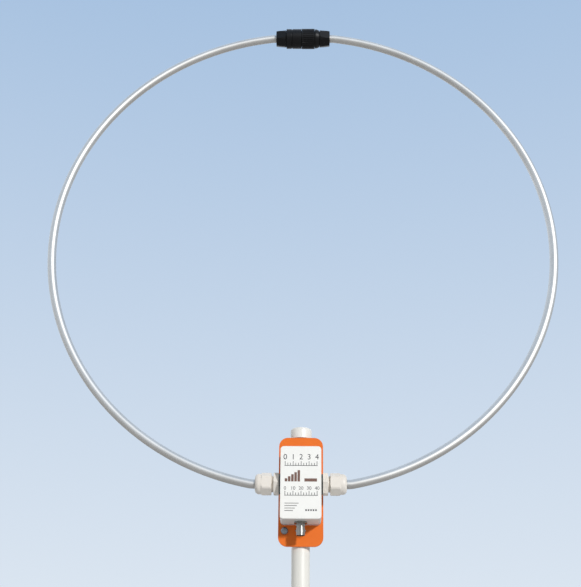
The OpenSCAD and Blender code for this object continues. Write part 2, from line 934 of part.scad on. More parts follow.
module coupler_plug() {
    color("dimgray") at_coupler() difference() {
        union() {
            at_left() end_neck();
            bar_x(plug_end_x, plug_face_x, plug_d / 2);
            bar_x(plug_face_x, joint_x, barrel_r);
        }
        ring_x(groove_x, groove_x + groove_w, plug_d / 2 + over, plug_d / 2 - groove_depth);
        at_left() shell_hollow(-joint_x);
    }
}

module coupler_socket() {
    color("dimgray") at_coupler() difference() {
        union() {
            bar_x(socket_face_x, collar_x, barrel_r);
            translate([collar_x, 0, 0]) rotate([0, 90, 0])
                cylinder(h = collar_len, r1 = collar_d / 2, r2 = collar_d / 2 - collar_taper);
            end_neck();
        }
        shell_hollow(socket_face_x);
    }
}

module coupler_ring() {
    color("black") at_coupler() difference() {
        ring_x(ring_start_x, ring_end_x, ring_d / 2, barrel_r + turn_fit);
        for (i = [0 : ring_flutes - 1]) {
            rotate([i * 360 / ring_flutes, 0, 0]) translate([0, 0, ring_d / 2])
                bar_x(ring_start_x - over, ring_end_x + over, flute_d / 2);
        }
    }
}

module coupler_nut() {
    color("black") at_coupler() difference() {
        intersection() {
            hex_x(end_nut_x, coupler_half, end_nut_af);
            round_end_x(end_nut_x, coupler_half, end_nut_af / 2 + end_nut_wall, end_nut_round);
        }
        bar_x(end_nut_x - over, coupler_half - end_nut_face_t, neck_r + turn_fit);
        bar_x(end_nut_x, coupler_half + over, gland_bore_r);
    }
}

module left_coupler_nut() {
    at_left() coupler_nut();
}

module right_coupler_nut() {
    coupler_nut();
}

module coupler_seal() {
    color("black") at_coupler() ring_x(end_seat_x, end_neck_x, seat_r - push_fit, tube_r + push_fit);
}

module left_coupler_seal() {
    at_left() coupler_seal();
}

module right_coupler_seal() {
    coupler_seal();
}

module coupler_o_ring() {
    color("black") at_coupler()
        ring_x(joint_x, socket_face_x, barrel_r - o_ring_inset, cavity_r + o_ring_inset);
}

// The pin stands in the left tube's end and reaches across the joint
module contact_pin() {
    color("goldenrod") at_coupler() union() {
        bar_x(-tube_top_x - shank_len, -tube_top_x, shank_r);
        bar_x(-tube_top_x, -flange_in_x, cavity_r - push_fit);
        bar_x(-flange_in_x, pin_tip_x, pin_r);
    }
}

module contact_sleeve() {
    color("goldenrod") at_coupler() difference() {
        union() {
            bar_x(tube_top_x, tube_top_x + shank_len, shank_r);
            bar_x(flange_in_x, tube_top_x, cavity_r - push_fit);
            bar_x(sleeve_x, flange_in_x, pin_r + push_fit + sleeve_wall);
        }
        bar_x(sleeve_x - over, flange_in_x, pin_r + push_fit);
    }
}

mast_pipe();
mast_cap();
back_plate();
upper_clip();
lower_clip();
clip_screws();
clip_nuts();
case_tray();
case_gasket();
case_lid();
case_screws();
front_label();
circuit_board();
board_screws();
input_transformer();
output_transformer();
transistors();
capacitors();
terminal_posts();
terminal_screws();
jack_lead();
jack_shell();
jack_insulator();
jack_contact();
jack_washer();
jack_nut();
left_gland_washer();
left_gland_body();
left_gland_seal();
left_gland_locknut();
left_gland_nut();
right_gland_washer();
right_gland_body();
right_gland_seal();
right_gland_locknut();
right_gland_nut();
left_tube();
right_tube();
coupler_plug();
coupler_socket();
coupler_ring();
left_coupler_nut();
right_coupler_nut();
left_coupler_seal();
right_coupler_seal();
coupler_o_ring();
contact_pin();
contact_sleeve();
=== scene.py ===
"""A receiving loop antenna: a ring of aluminium tube on an amplifier case, clipped to a plastic mast."""
import math

import bpy
from mathutils import Matrix, Vector


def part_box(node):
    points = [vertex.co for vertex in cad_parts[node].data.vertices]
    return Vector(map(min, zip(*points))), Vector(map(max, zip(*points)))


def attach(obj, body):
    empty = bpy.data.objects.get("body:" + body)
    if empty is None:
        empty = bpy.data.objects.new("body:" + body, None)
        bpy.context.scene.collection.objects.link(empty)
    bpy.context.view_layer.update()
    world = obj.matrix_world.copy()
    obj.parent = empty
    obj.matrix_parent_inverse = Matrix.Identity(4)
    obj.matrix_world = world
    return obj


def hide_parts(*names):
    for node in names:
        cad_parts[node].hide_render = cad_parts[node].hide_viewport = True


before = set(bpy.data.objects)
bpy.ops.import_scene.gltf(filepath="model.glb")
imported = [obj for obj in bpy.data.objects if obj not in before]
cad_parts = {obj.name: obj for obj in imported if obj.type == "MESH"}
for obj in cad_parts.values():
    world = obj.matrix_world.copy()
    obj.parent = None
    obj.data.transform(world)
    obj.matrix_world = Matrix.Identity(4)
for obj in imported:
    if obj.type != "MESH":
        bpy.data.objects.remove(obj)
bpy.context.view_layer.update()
mm = 0.001

# Camera: it stands low in front of the mast and looks up at the loop, as the photograph does.
# Its focal length is counted in pixels of the photograph.
image_height = 587
focal_pixels = 1000
camera_at = Vector((5.2, -1105.5, 186.2)) * mm
camera_pan = math.radians(0.983)
camera_tilt = math.radians(90 + 23.698)
camera_roll = math.radians(0.566)

camera = bpy.data.objects.new("camera", bpy.data.cameras.new("camera"))
bpy.context.scene.collection.objects.link(camera)
camera.data.lens = camera.data.sensor_width * focal_pixels / image_height
camera.matrix_world = (
    Matrix.Translation(camera_at)
    @ Matrix.Rotation(camera_pan, 4, "Z")
    @ Matrix.Rotation(camera_tilt, 4, "X")
    @ Matrix.Rotation(camera_roll, 4, "Z")
)
bpy.context.scene.camera = camera
bpy.context.scene.view_settings.view_transform = "Standard"


# Studio: a pale floor under the mast, a pale backdrop that deepens upwards, and three soft far lamps.
# The key lamp stands at the right, in front and above, so the case throws its shadow down to the left.
# A lamp is given by the way towards it, its spread in degrees and its strength.
floor_size = 40
floor_colour = "#D2D4D6"
paper_grain = 3 * mm
backdrop_low = "#E4ECF4"
backdrop_high = "#A3BFDF"
backdrop_top = 0.68
room_light = 0.22
lamps = {
    "key lamp": ((0.471, -0.827, 0.306), 6, 2.4),
    "fill lamp": ((-0.75, -0.5, 0.43), 50, 0.15),
    "rim lamp": ((-0.35, 0.6, 0.72), 110, 1.1),
}


def linear(code):
    """A colour's sRGB hex value as linear red, green, blue and alpha."""
    parts = [int(code[start:start + 2], 16) / 255 for start in (1, 3, 5)]
    return [part / 12.92 if part <= 0.04045 else ((part + 0.055) / 1.055) ** 2.4 for part in parts] + [1]


def set_inputs(tree, node, inputs):
    """Sets a node's inputs: one that is given a socket is linked to it, and any other takes the value."""
    for name, value in inputs.items():
        if isinstance(value, bpy.types.NodeSocket):
            tree.links.new(value, node.inputs[name])
        else:
            node.inputs[name].default_value = value


def add_node(tree, kind, settings, inputs):
    """Adds a node with its settings and its inputs."""
    node = tree.nodes.new(kind)
    for name, value in settings.items():
        setattr(node, name, value)
    set_inputs(tree, node, inputs)
    return node


def new_finish(name):
    """A new material, with its nodes, its shader and the place on the object that its patterns follow."""
    finish = bpy.data.materials.new(name)
    finish.use_nodes = True
    tree = finish.node_tree
    where = add_node(tree, "ShaderNodeTexCoord", {}, {}).outputs["Object"]
    return finish, tree, tree.nodes["Principled BSDF"], where


bpy.ops.object.select_all(action="DESELECT")
bpy.ops.mesh.primitive_plane_add(size=floor_size)
floor = bpy.context.object
floor.name = "floor"

# Matte backdrop paper: even and dull, with the faintest tooth, drawn coarse enough to show
paper, tree, shader, where = new_finish("matte backdrop paper")
tooth = add_node(tree, "ShaderNodeTexNoise", {}, {"Vector": where, "Scale": 1 / paper_grain}).outputs[0]
relief = {"Height": tooth, "Strength": 0.1, "Distance": 0.1 * mm}
relief = add_node(tree, "ShaderNodeBump", {}, relief).outputs[0]
set_inputs(tree, shader, {"Base Color": linear(floor_colour), "Roughness": 0.9, "Normal": relief})
floor.data.materials.append(paper)

world = bpy.data.worlds.new("studio")
bpy.context.scene.world = world
world.use_nodes = True
tree = world.node_tree
tree.nodes.clear()
facing = add_node(tree, "ShaderNodeTexCoord", {}, {}).outputs["Generated"]
upwards = add_node(tree, "ShaderNodeSeparateXYZ", {}, {0: facing}).outputs["Z"]
height = add_node(tree, "ShaderNodeMapRange", {}, {"Value": upwards, "From Max": backdrop_top}).outputs[0]
shades = {0: height, 6: linear(backdrop_low), 7: linear(backdrop_high)}
backdrop = add_node(tree, "ShaderNodeMix", {"data_type": "RGBA"}, shades).outputs[2]
seen = add_node(tree, "ShaderNodeBackground", {}, {"Color": backdrop}).outputs[0]
even = {"Color": (1, 1, 1, 1), "Strength": room_light}
cast = add_node(tree, "ShaderNodeBackground", {}, even).outputs[0]
rays = add_node(tree, "ShaderNodeLightPath", {}, {}).outputs
direct = {0: rays["Is Camera Ray"], 1: rays["Is Glossy Ray"]}
direct = add_node(tree, "ShaderNodeMath", {"operation": "ADD", "use_clamp": True}, direct).outputs[0]
direct = {0: direct, 1: rays["Is Transmission Ray"]}
direct = add_node(tree, "ShaderNodeMath", {"operation": "ADD", "use_clamp": True}, direct).outputs[0]
surface = add_node(tree, "ShaderNodeMixShader", {}, {0: direct, 1: cast, 2: seen}).outputs[0]
add_node(tree, "ShaderNodeOutputWorld", {}, {"Surface": surface})

for name, (towards, spread, strength) in lamps.items():
    bpy.ops.object.light_add(type="SUN")
    lamp = bpy.context.object
    lamp.name = name
    lamp.rotation_euler = Vector(towards).to_track_quat("Z", "Y").to_euler()
    lamp.data.angle = math.radians(spread)
    lamp.data.energy = strength


# Mast pipe: a length of white PVC conduit that carries everything else.
# It is extruded and sawn off square, with its ends deburred.
pipe_low, pipe_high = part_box("mast_pipe")
pipe_r = pipe_high.x
pipe_wall = 2 * mm
pipe_edge = 0.4 * mm
pipe_colour = "#ECEBE6"
pipe_aged = "#E0DED4"
die_line = 0.9 * mm
die_drag = 0.02
# Points as close as this are one point: in a mesh as it is drawn, and in one that was cut
merge_gap = 0.001 * mm
cut_gap = 0.01 * mm
# Edges that turn by more than this many degrees are rounded, and flatter ones are shaded smooth
sharp_edge = 35


def only(piece):
    """Makes a piece the one thing that the operators act on."""
    bpy.ops.object.select_all(action="DESELECT")
    piece.select_set(True)
    bpy.context.view_layer.objects.active = piece


def turned(name, stations, sides=64):
    """A turned piece on the Z axis: a ring drawn out through (height, radius) stations.

    Stations that come back to the first one make a hollow ring. Open ends are capped."""
    bpy.ops.object.select_all(action="DESELECT")
    height, radius = stations[0]
    bpy.ops.mesh.primitive_circle_add(vertices=sides, radius=radius, location=(0, 0, height))
    piece = bpy.context.object
    piece.name = name
    bpy.ops.object.transform_apply()
    bpy.ops.object.mode_set(mode="EDIT")
    bpy.ops.mesh.select_all(action="SELECT")
    for next_height, next_radius in stations[1:]:
        bpy.ops.mesh.extrude_region_move(TRANSFORM_OT_translate={"value": (0, 0, next_height - height)})
        growth = next_radius / radius
        bpy.ops.transform.resize(value=(growth, growth, 1), center_override=(0, 0, next_height))
        height, radius = next_height, next_radius
    bpy.ops.mesh.select_all(action="SELECT")
    bpy.ops.mesh.remove_doubles(threshold=merge_gap)
    bpy.ops.mesh.fill_holes(sides=0)
    bpy.ops.mesh.normals_make_consistent(inside=False)
    bpy.ops.object.mode_set(mode="OBJECT")
    return piece


def hollow_ring(name, low, high, bore_r, outer_r):
    """A plain hollow piece on the Z axis, between two heights."""
    return turned(name, [(low, bore_r), (low, outer_r), (high, outer_r), (high, bore_r), (low, bore_r)])


def merge_points(piece, gap):
    """Merges the points of a piece that lie within a gap of each other."""
    only(piece)
    bpy.ops.object.mode_set(mode="EDIT")
    bpy.ops.mesh.select_all(action="SELECT")
    bpy.ops.mesh.remove_doubles(threshold=gap)
    bpy.ops.object.mode_set(mode="OBJECT")


def ease_edges(piece, width, sharp=sharp_edge):
    """Rounds the edges that are sharper than so many degrees, and shades the rest smooth.

    Points that cutting left doubled are merged first."""
    merge_points(piece, cut_gap)
    rounding = piece.modifiers.new("rounding", "BEVEL")
    rounding.width = width
    rounding.segments = 3
    rounding.limit_method = "ANGLE"
    rounding.angle_limit = math.radians(sharp)
    bpy.ops.object.modifier_apply(modifier=rounding.name)
    bpy.ops.object.shade_smooth_by_angle(angle=math.radians(sharp))
    flats = piece.modifiers.new("flats", "WEIGHTED_NORMAL")
    flats.keep_sharp = True
    bpy.ops.object.modifier_apply(modifier=flats.name)


pipe = hollow_ring("white_pipe", pipe_low.z, pipe_high.z, pipe_r - pipe_wall, pipe_r)
ease_edges(pipe, pipe_edge)

# Extruded PVC: a satin white skin, with faint lines along the pipe where the die dragged.
# The real lines are too fine to show, so they are drawn wider apart.
pipe_white, tree, shader, where = new_finish("extruded white PVC")
along = add_node(tree, "ShaderNodeMapping", {}, {"Vector": where, "Scale": (1, 1, die_drag)}).outputs[0]
lines = {"Vector": along, "Scale": 1 / die_line, "Detail": 3}
lines = add_node(tree, "ShaderNodeTexNoise", {}, lines).outputs[0]
tints = {0: lines, 6: linear(pipe_colour), 7: linear(pipe_aged)}
tint = add_node(tree, "ShaderNodeMix", {"data_type": "RGBA"}, tints).outputs[2]
gloss = {"Value": lines, "To Min": 0.34, "To Max": 0.5}
gloss = add_node(tree, "ShaderNodeMapRange", {}, gloss).outputs[0]
relief = {"Height": lines, "Strength": 0.4, "Distance": 0.02 * mm}
relief = add_node(tree, "ShaderNodeBump", {}, relief).outputs[0]
set_inputs(tree, shader, {"Base Color": tint, "Roughness": gloss, "Normal": relief, "IOR": 1.53})
pipe.data.materials.append(pipe_white)
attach(pipe, "mast")
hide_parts("mast_pipe")


# End cap: a moulded white PVC cap pushed over the top of the pipe.
# Its top edge is well rounded, and its skirt stops just above the plate.
cap_low, cap_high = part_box("mast_cap")
cap_r = cap_high.x
cap_fit = 0.03 * mm
cap_bore_r = pipe_r + cap_fit
cap_round = 3 * mm
cap_edge = 0.35 * mm
cap_colour = "#F1F0EC"
cap_aged = "#E6E4DC"
cap_grain = 0.8 * mm
cloud_size = 22 * mm
gloss_swing = 0.08


def rounded_end(height, radius, size, steps=6):
    """Stations round an outer edge, from the side of a turned piece to its end at that height."""
    turns = [math.radians(90) * step / steps for step in range(steps + 1)]
    return [
        (height - size + size * math.sin(turn), radius - size + size * math.cos(turn))
        for turn in turns
    ]


def moulded(name, colour, aged, roughness, grain, depth, ior):
    """A moulded plastic or rubber: a fine grain from its mould, and cloudy patches that aged a little.

    The real grain is too fine to show, so it is drawn several times as coarse."""
    finish, tree, shader, where = new_finish(name)
    clouds = {"Vector": where, "Scale": 1 / cloud_size, "Detail": 5}
    clouds = add_node(tree, "ShaderNodeTexNoise", {}, clouds).outputs[0]
    tooth = {"Vector": where, "Scale": 1 / grain, "Detail": 2}
    tooth = add_node(tree, "ShaderNodeTexNoise", {}, tooth).outputs[0]
    tints = {0: clouds, 6: linear(colour), 7: linear(aged)}
    tint = add_node(tree, "ShaderNodeMix", {"data_type": "RGBA"}, tints).outputs[2]
    gloss = {"Value": clouds, "To Min": roughness - gloss_swing, "To Max": roughness + gloss_swing}
    gloss = add_node(tree, "ShaderNodeMapRange", {}, gloss).outputs[0]
    relief = {"Height": tooth, "Strength": 0.5, "Distance": depth}
    relief = add_node(tree, "ShaderNodeBump", {}, relief).outputs[0]
    set_inputs(tree, shader, {"Base Color": tint, "Roughness": gloss, "Normal": relief, "IOR": ior})
    return finish


cap_side = [(pipe_high.z, cap_bore_r), (cap_low.z, cap_bore_r), (cap_low.z, cap_r)]
cap = turned("pipe_end_cap", cap_side + rounded_end(cap_high.z, cap_r, cap_round))
ease_edges(cap, cap_edge)

# Moulded PVC: whiter and a little glossier than the pipe, with a fine even grain
cap_white = moulded(
    "moulded white PVC", cap_colour, cap_aged,
    roughness=0.36, grain=cap_grain, depth=0.02 * mm, ior=1.53,
)
cap.data.materials.append(cap_white)
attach(cap, "mast")
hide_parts("mast_cap")


# Plate: an orange plastic sheet, cut out with rounded corners, that the case and the clips are screwed to.
# Its edges are sanded, and its holes are drilled for the two clip screws and the four case screws.
plate_low, plate_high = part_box("back_plate")
plate_corner = 10 * mm
plate_edge = 0.5 * mm
plate_colour = "#EE7414"
plate_shade = "#E2690C"
plate_scuff = "#EE8B4C"
scuff_size = 9 * mm
sheet_grain = 0.9 * mm
screw_clearance = 0.2 * mm
clip_screw_r = 2.5 * mm
case_screw_r = 1.5 * mm
clip_screw_x = -17.55 * mm
clip_screw_zs = [sum(corner.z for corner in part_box(clip)) / 2 for clip in ("upper_clip", "lower_clip")]
case_low, case_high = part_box("case_tray")
case_screw_inset = 5 * mm
case_screw_xs = (case_low.x + case_screw_inset, case_high.x - case_screw_inset)
case_screw_zs = (case_low.z + case_screw_inset, case_high.z - case_screw_inset)
# Turns, in degrees, that point the top of a piece made on the Z axis
upright = (0, 0, 0)
facing_front = (90, 0, 0)
facing_back = (-90, 0, 0)
facing_right = (0, 90, 0)


def select_edges(piece, wanted):
    """Goes into edit mode with only those edges selected whose two ends fit."""
    bpy.ops.object.mode_set(mode="EDIT")
    bpy.ops.mesh.select_mode(type="EDGE")
    bpy.ops.mesh.select_all(action="DESELECT")
    bpy.ops.object.mode_set(mode="OBJECT")
    for edge in piece.data.edges:
        ends = [piece.data.vertices[index].co for index in edge.vertices]
        edge.select = wanted(*ends)
    bpy.ops.object.mode_set(mode="EDIT")


def block(middle, size):
    """A block by its middle and its size, for a piece to start from."""
    bpy.ops.object.select_all(action="DESELECT")
    bpy.ops.mesh.primitive_cube_add(size=1, location=middle, scale=size)
    bpy.ops.object.transform_apply()
    return bpy.context.object


def rounded_slab(name, low, high, corner):
    """A flat piece that faces along Y, with its four corners rounded."""
    piece = block((low + high) / 2, high - low)
    piece.name = name
    select_edges(piece, lambda start, end: abs(start.y - end.y) > merge_gap)
    bpy.ops.mesh.bevel(offset=corner, segments=10, affect="EDGES")
    bpy.ops.object.mode_set(mode="OBJECT")
    return piece


def place(piece, at, turn=upright):
    """Turns a piece, in degrees, and moves it to where it sits, with its place kept in its mesh."""
    only(piece)
    piece.location = at
    piece.rotation_euler = [math.radians(angle) for angle in turn]
    bpy.ops.object.transform_apply()


def combine(piece, tool, operation):
    """Cuts a tool out of a piece, joins it on, or keeps what both share, and clears the tool away."""
    only(piece)
    step = piece.modifiers.new("combine", "BOOLEAN")
    step.operation = operation
    step.solver = "EXACT"
    step.object = tool
    bpy.ops.object.modifier_apply(modifier=step.name)
    bpy.data.objects.remove(tool)


def drill(piece, at, radius, length, turn=facing_front):
    """Drills a round hole into a piece, along Y unless it is turned, with the bit's middle at a point."""
    bit = turned("bit", [(-length / 2, radius), (length / 2, radius)], sides=48)
    place(bit, at, turn)
    combine(piece, bit, "DIFFERENCE")


plate = rounded_slab("orange_plate", plate_low, plate_high, plate_corner)
plate_y = (plate_low.y + plate_high.y) / 2
plate_through = 3 * (plate_high.y - plate_low.y)
for z in clip_screw_zs:
    drill(plate, (clip_screw_x, plate_y, z), clip_screw_r + screw_clearance, plate_through)
for x in case_screw_xs:
    for z in case_screw_zs:
        drill(plate, (x, plate_y, z), case_screw_r + screw_clearance, plate_through)
ease_edges(plate, plate_edge)

# Orange sheet plastic: strong even colour right through, a satin face, and a few pale scuffs from handling
orange, tree, shader, where = new_finish("orange sheet plastic")
clouds = {"Vector": where, "Scale": 1 / cloud_size, "Detail": 4}
clouds = add_node(tree, "ShaderNodeTexNoise", {}, clouds).outputs[0]
scuffs = {"Vector": where, "Scale": 1 / scuff_size, "Detail": 8, "Roughness": 0.7}
scuffs = add_node(tree, "ShaderNodeTexNoise", {}, scuffs).outputs[0]
scuffs = {"Value": scuffs, "From Min": 0.62, "From Max": 0.8, "To Max": 0.5}
scuffs = add_node(tree, "ShaderNodeMapRange", {}, scuffs).outputs[0]
tooth = {"Vector": where, "Scale": 1 / sheet_grain, "Detail": 2}
tooth = add_node(tree, "ShaderNodeTexNoise", {}, tooth).outputs[0]
tints = {0: clouds, 6: linear(plate_colour), 7: linear(plate_shade)}
tint = add_node(tree, "ShaderNodeMix", {"data_type": "RGBA"}, tints).outputs[2]
tints = {0: scuffs, 6: tint, 7: linear(plate_scuff)}
tint = add_node(tree, "ShaderNodeMix", {"data_type": "RGBA"}, tints).outputs[2]
gloss = {"Value": scuffs, "To Min": 0.4, "To Max": 0.7}
gloss = add_node(tree, "ShaderNodeMapRange", {}, gloss).outputs[0]
relief = {"Height": tooth, "Strength": 0.4, "Distance": 0.02 * mm}
relief = add_node(tree, "ShaderNodeBump", {}, relief).outputs[0]
set_inputs(tree, shader, {"Base Color": tint, "Roughness": gloss, "Normal": relief, "IOR": 1.42})
plate.data.materials.append(orange)
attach(plate, "head")
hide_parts("back_plate")


# Pipe clips: two grey nylon straps round the back of the pipe, bent out on the left into a tab.
# Each is a moulded strip, drilled for the one screw that pulls it against the plate.
strap_t = 2 * mm
strap_bend = 1.6 * mm
strap_edge = 0.35 * mm
strap_colour = "#B4B6B6"
strap_aged = "#A5A7A8"
strap_grain = 0.7 * mm


def select_points(piece, wanted):
    """Goes into edit mode with only those points selected that fit."""
    bpy.ops.object.mode_set(mode="EDIT")
    bpy.ops.mesh.select_mode(type="VERT")
    bpy.ops.mesh.select_all(action="DESELECT")
    bpy.ops.object.mode_set(mode="OBJECT")
    for point in piece.data.vertices:
        point.select = wanted(point.co)
    bpy.ops.object.mode_set(mode="EDIT")


def strap(name, low, high):
    """A clip's strip, drawn as its middle line from the free end round to the tab.

    The line is drawn out to the strip's width, bent at the tab and given its thickness."""
    ring_r = high.x - strap_t / 2
    tab_y = low.y + strap_t / 2
    bpy.ops.object.select_all(action="DESELECT")
    bpy.ops.mesh.primitive_circle_add(vertices=64, radius=ring_r, location=(0, 0, low.z))
    piece = bpy.context.object
    piece.name = name
    bpy.ops.object.transform_apply()
    select_points(piece, lambda point: point.y < -merge_gap)
    bpy.ops.mesh.delete(type="VERT")
    select_points(piece, lambda point: point.x > 0 and point.y < merge_gap)
    bpy.ops.mesh.extrude_vertices_move(TRANSFORM_OT_translate={"value": (0, low.y, 0)})
    select_points(piece, lambda point: point.x < 0 and point.y < merge_gap)
    bpy.ops.mesh.extrude_vertices_move(TRANSFORM_OT_translate={"value": (0, tab_y, 0)})
    bpy.ops.mesh.extrude_vertices_move(TRANSFORM_OT_translate={"value": (low.x + ring_r, 0, 0)})
    bpy.ops.mesh.select_all(action="SELECT")
    bpy.ops.mesh.extrude_region_move(TRANSFORM_OT_translate={"value": (0, 0, high.z - low.z)})
    bend = Vector((-ring_r, tab_y))
    select_edges(piece, lambda start, end: (start.xy - bend).length + (end.xy - bend).length < merge_gap)
    bpy.ops.mesh.bevel(offset=strap_bend, segments=5, affect="EDGES")
    bpy.ops.mesh.select_all(action="SELECT")
    bpy.ops.mesh.normals_make_consistent(inside=False)
    bpy.ops.object.mode_set(mode="OBJECT")
    wall = piece.modifiers.new("wall", "SOLIDIFY")
    wall.thickness = strap_t
    wall.offset = 0
    wall.use_even_offset = True
    bpy.ops.object.modifier_apply(modifier=wall.name)
    drill(piece, (clip_screw_x, tab_y, (low.z + high.z) / 2), clip_screw_r + screw_clearance, 2 * strap_t)
    ease_edges(piece, strap_edge)
    return piece


# Moulded nylon: light grey, slightly waxy, with a fine grain
clip_grey = moulded(
    "moulded grey nylon", strap_colour, strap_aged,
    roughness=0.48, grain=strap_grain, depth=0.03 * mm, ior=1.53,
)
for name, node in (("upper_strap", "upper_clip"), ("lower_strap", "lower_clip")):
    clip = strap(name, *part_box(node))
    clip.data.materials.append(clip_grey)
    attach(clip, "head")
    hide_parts(node)


# Clip screws and nuts: pan-head screws from the front of the plate, with a hexagon nut behind each tab.
# They are cold-headed steel with a bright zinc plating, and a cross recess in each head.
clip_head_r = 4 * mm
clip_head_t = 2.6 * mm
clip_nut_across = 8 * mm
clip_nut_t = 4 * mm
clip_screw_tail = 1 * mm
nut_chamfer = 0.45 * mm
nut_edge = 0.12 * mm
screw_edge = 0.1 * mm
# The two zinc greys are darker than bare zinc plating: painted shade.
zinc_with_painted_shade = "#989B9F"
zinc_dull_with_painted_shade = "#7A7D81"
plating_patch = 1.6 * mm
dull_swing = 0.12


def pan_screw(name, shank_r, length, head_r, head_t):
    """A screw on the Z axis: its domed head stands on height 0, and its shank runs down."""
    tip = 0.25 * shank_r
    head_round = 0.7 * head_t
    shank = [(-length, shank_r - tip), (-length + tip, shank_r), (0, shank_r), (0, head_r)]
    piece = turned(name, shank + rounded_end(head_t, head_r, head_round), sides=48)
    cross_span = 1.15 * head_r
    cross_arm = 0.28 * head_r
    for across, along in ((cross_span, cross_arm), (cross_arm, cross_span)):
        combine(piece, block((0, 0, head_t), (across, along, head_t)), "DIFFERENCE")
    ease_edges(piece, screw_edge)
    return piece


def hexagon(name, across, low, high, envelope, corner_first=False, draft=0):
    """A hexagonal bar on the Z axis, trimmed to a turned envelope.

    Its corners lie along Y, or along X where corner_first is set.
    It may taper upwards by a draft in degrees."""
    bpy.ops.object.select_all(action="DESELECT")
    turn = math.radians(30) if corner_first else 0
    corner_r = across / math.sqrt(3)
    bpy.ops.mesh.primitive_cone_add(
        vertices=6,
        radius1=corner_r,
        radius2=corner_r - (high - low) * math.tan(math.radians(draft)),
        depth=high - low,
        location=(0, 0, (low + high) / 2),
        rotation=(0, 0, turn),
    )
    piece = bpy.context.object
    piece.name = name
    bpy.ops.object.transform_apply()
    combine(piece, turned("envelope", envelope, sides=96), "INTERSECT")
    return piece


def copy_of(piece, name, at, turn):
    """A copy of a piece with a mesh of its own, turned and moved to its place."""
    only(piece)
    bpy.ops.object.duplicate()
    copy = bpy.context.object
    copy.name = name
    place(copy, at, turn)
    return copy


def plated(name, colour, dull, roughness, patch):
    """A plated or turned metal: an even bright skin that dulls in small patches."""
    finish, tree, shader, where = new_finish(name)
    patches = {"Vector": where, "Scale": 1 / patch, "Detail": 4}
    patches = add_node(tree, "ShaderNodeTexNoise", {}, patches).outputs[0]
    tints = {0: patches, 6: linear(colour), 7: linear(dull)}
    tint = add_node(tree, "ShaderNodeMix", {"data_type": "RGBA"}, tints).outputs[2]
    gloss = {"Value": patches, "To Min": roughness - gloss_swing, "To Max": roughness + dull_swing}
    gloss = add_node(tree, "ShaderNodeMapRange", {}, gloss).outputs[0]
    relief = {"Height": patches, "Strength": 0.2, "Distance": 0.02 * mm}
    relief = add_node(tree, "ShaderNodeBump", {}, relief).outputs[0]
    set_inputs(tree, shader, {"Base Color": tint, "Roughness": gloss, "Normal": relief, "Metallic": 1})
    return finish


# Zinc plating: a cool grey, slightly uneven, and painted darker than bare zinc as painted shade
zinc = plated("zinc-plated steel", zinc_with_painted_shade, zinc_dull_with_painted_shade, roughness=0.3, patch=plating_patch)

clip_screw_length = (plate_high.y - plate_low.y) + strap_t + clip_nut_t + clip_screw_tail
screw_pattern = pan_screw("clip_screw", clip_screw_r, clip_screw_length, clip_head_r, clip_head_t)
screw_pattern.data.materials.append(zinc)
nut_corner_r = clip_nut_across / math.sqrt(3)
# Two cones that meet wide of the nut's corners trim both its ends at 45 degrees
nut_pattern = hexagon("clip_nut", clip_nut_across, 0, clip_nut_t, [
    (-nut_chamfer, nut_corner_r - 2 * nut_chamfer),
    (clip_nut_t / 2, nut_corner_r - nut_chamfer + clip_nut_t / 2),
    (clip_nut_t + nut_chamfer, nut_corner_r - 2 * nut_chamfer),
], corner_first=True)
drill(nut_pattern, (0, 0, clip_nut_t / 2), clip_screw_r, 2 * clip_nut_t, turn=upright)
ease_edges(nut_pattern, nut_edge)
nut_pattern.data.materials.append(zinc)
for end, z in zip(("upper", "lower"), clip_screw_zs):
    screw = copy_of(screw_pattern, end + "_clip_screw", (clip_screw_x, plate_low.y, z), facing_front)
    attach(screw, "head")
    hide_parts("clip_screws")
    nut = copy_of(nut_pattern, end + "_clip_nut", (clip_screw_x, plate_high.y + strap_t, z), facing_back)
    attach(nut, "head")
    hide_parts("clip_nuts")
bpy.data.objects.remove(screw_pattern)
bpy.data.objects.remove(nut_pattern)


# Case: a deep moulded ABS tray with its open side to the plate, closed by a flat lid on a rubber gasket.
# Four screws from behind the plate go through the lid into posts in the tray's corners.
case_corner = 3.5 * mm
case_wall = 2.4 * mm
case_hollow_corner = 1.1 * mm
case_edge = 0.7 * mm
lid_edge = 0.35 * mm
post_r = 3.6 * mm
post_hole = 15 * mm
case_screw_bite = 14 * mm
gland_low, gland_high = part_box("right_gland_washer")
loop_y = (gland_low.y + gland_high.y) / 2
gland_z = (gland_low.z + gland_high.z) / 2
gland_hole_r = 9.5 * mm
jack_hole_r = 5.02 * mm
case_colour = "#E6E6E2"
case_aged = "#D9D9D3"
case_grain = 0.7 * mm
rubber_colour = "#1D1D1E"
rubber_bloom = "#2D2D2D"
rubber_grain = 0.6 * mm
case_head_r = 2.9 * mm
case_head_t = 2.2 * mm

tray = rounded_slab("case_shell", case_low, case_high, case_corner)
hollow_low = case_low + Vector((case_wall, case_wall, case_wall))
hollow_high = case_high + Vector((-case_wall, case_wall, -case_wall))
combine(tray, rounded_slab("hollow", hollow_low, hollow_high, case_hollow_corner), "DIFFERENCE")
post_low_y = hollow_low.y - case_wall / 2
for x in case_screw_xs:
    for z in case_screw_zs:
        post = turned("post", [(0, post_r), (case_high.y - post_low_y, post_r)], sides=48)
        place(post, (x, post_low_y, z), facing_back)
        combine(tray, post, "UNION")
        drill(tray, (x, case_high.y, z), case_screw_r, 2 * post_hole)
drill(tray, (0, loop_y, gland_z), gland_hole_r, 3 * case_high.x, turn=facing_right)
drill(tray, (0, loop_y, case_low.z), jack_hole_r, 4 * case_wall, turn=upright)
ease_edges(tray, case_edge)

# Moulded ABS: near white, satin, with the fine spark-eroded grain of a stock instrument box
case_white = moulded(
    "moulded white ABS", case_colour, case_aged,
    roughness=0.46, grain=case_grain, depth=0.04 * mm, ior=1.54,
)
tray.data.materials.append(case_white)
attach(tray, "head")
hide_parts("case_tray")

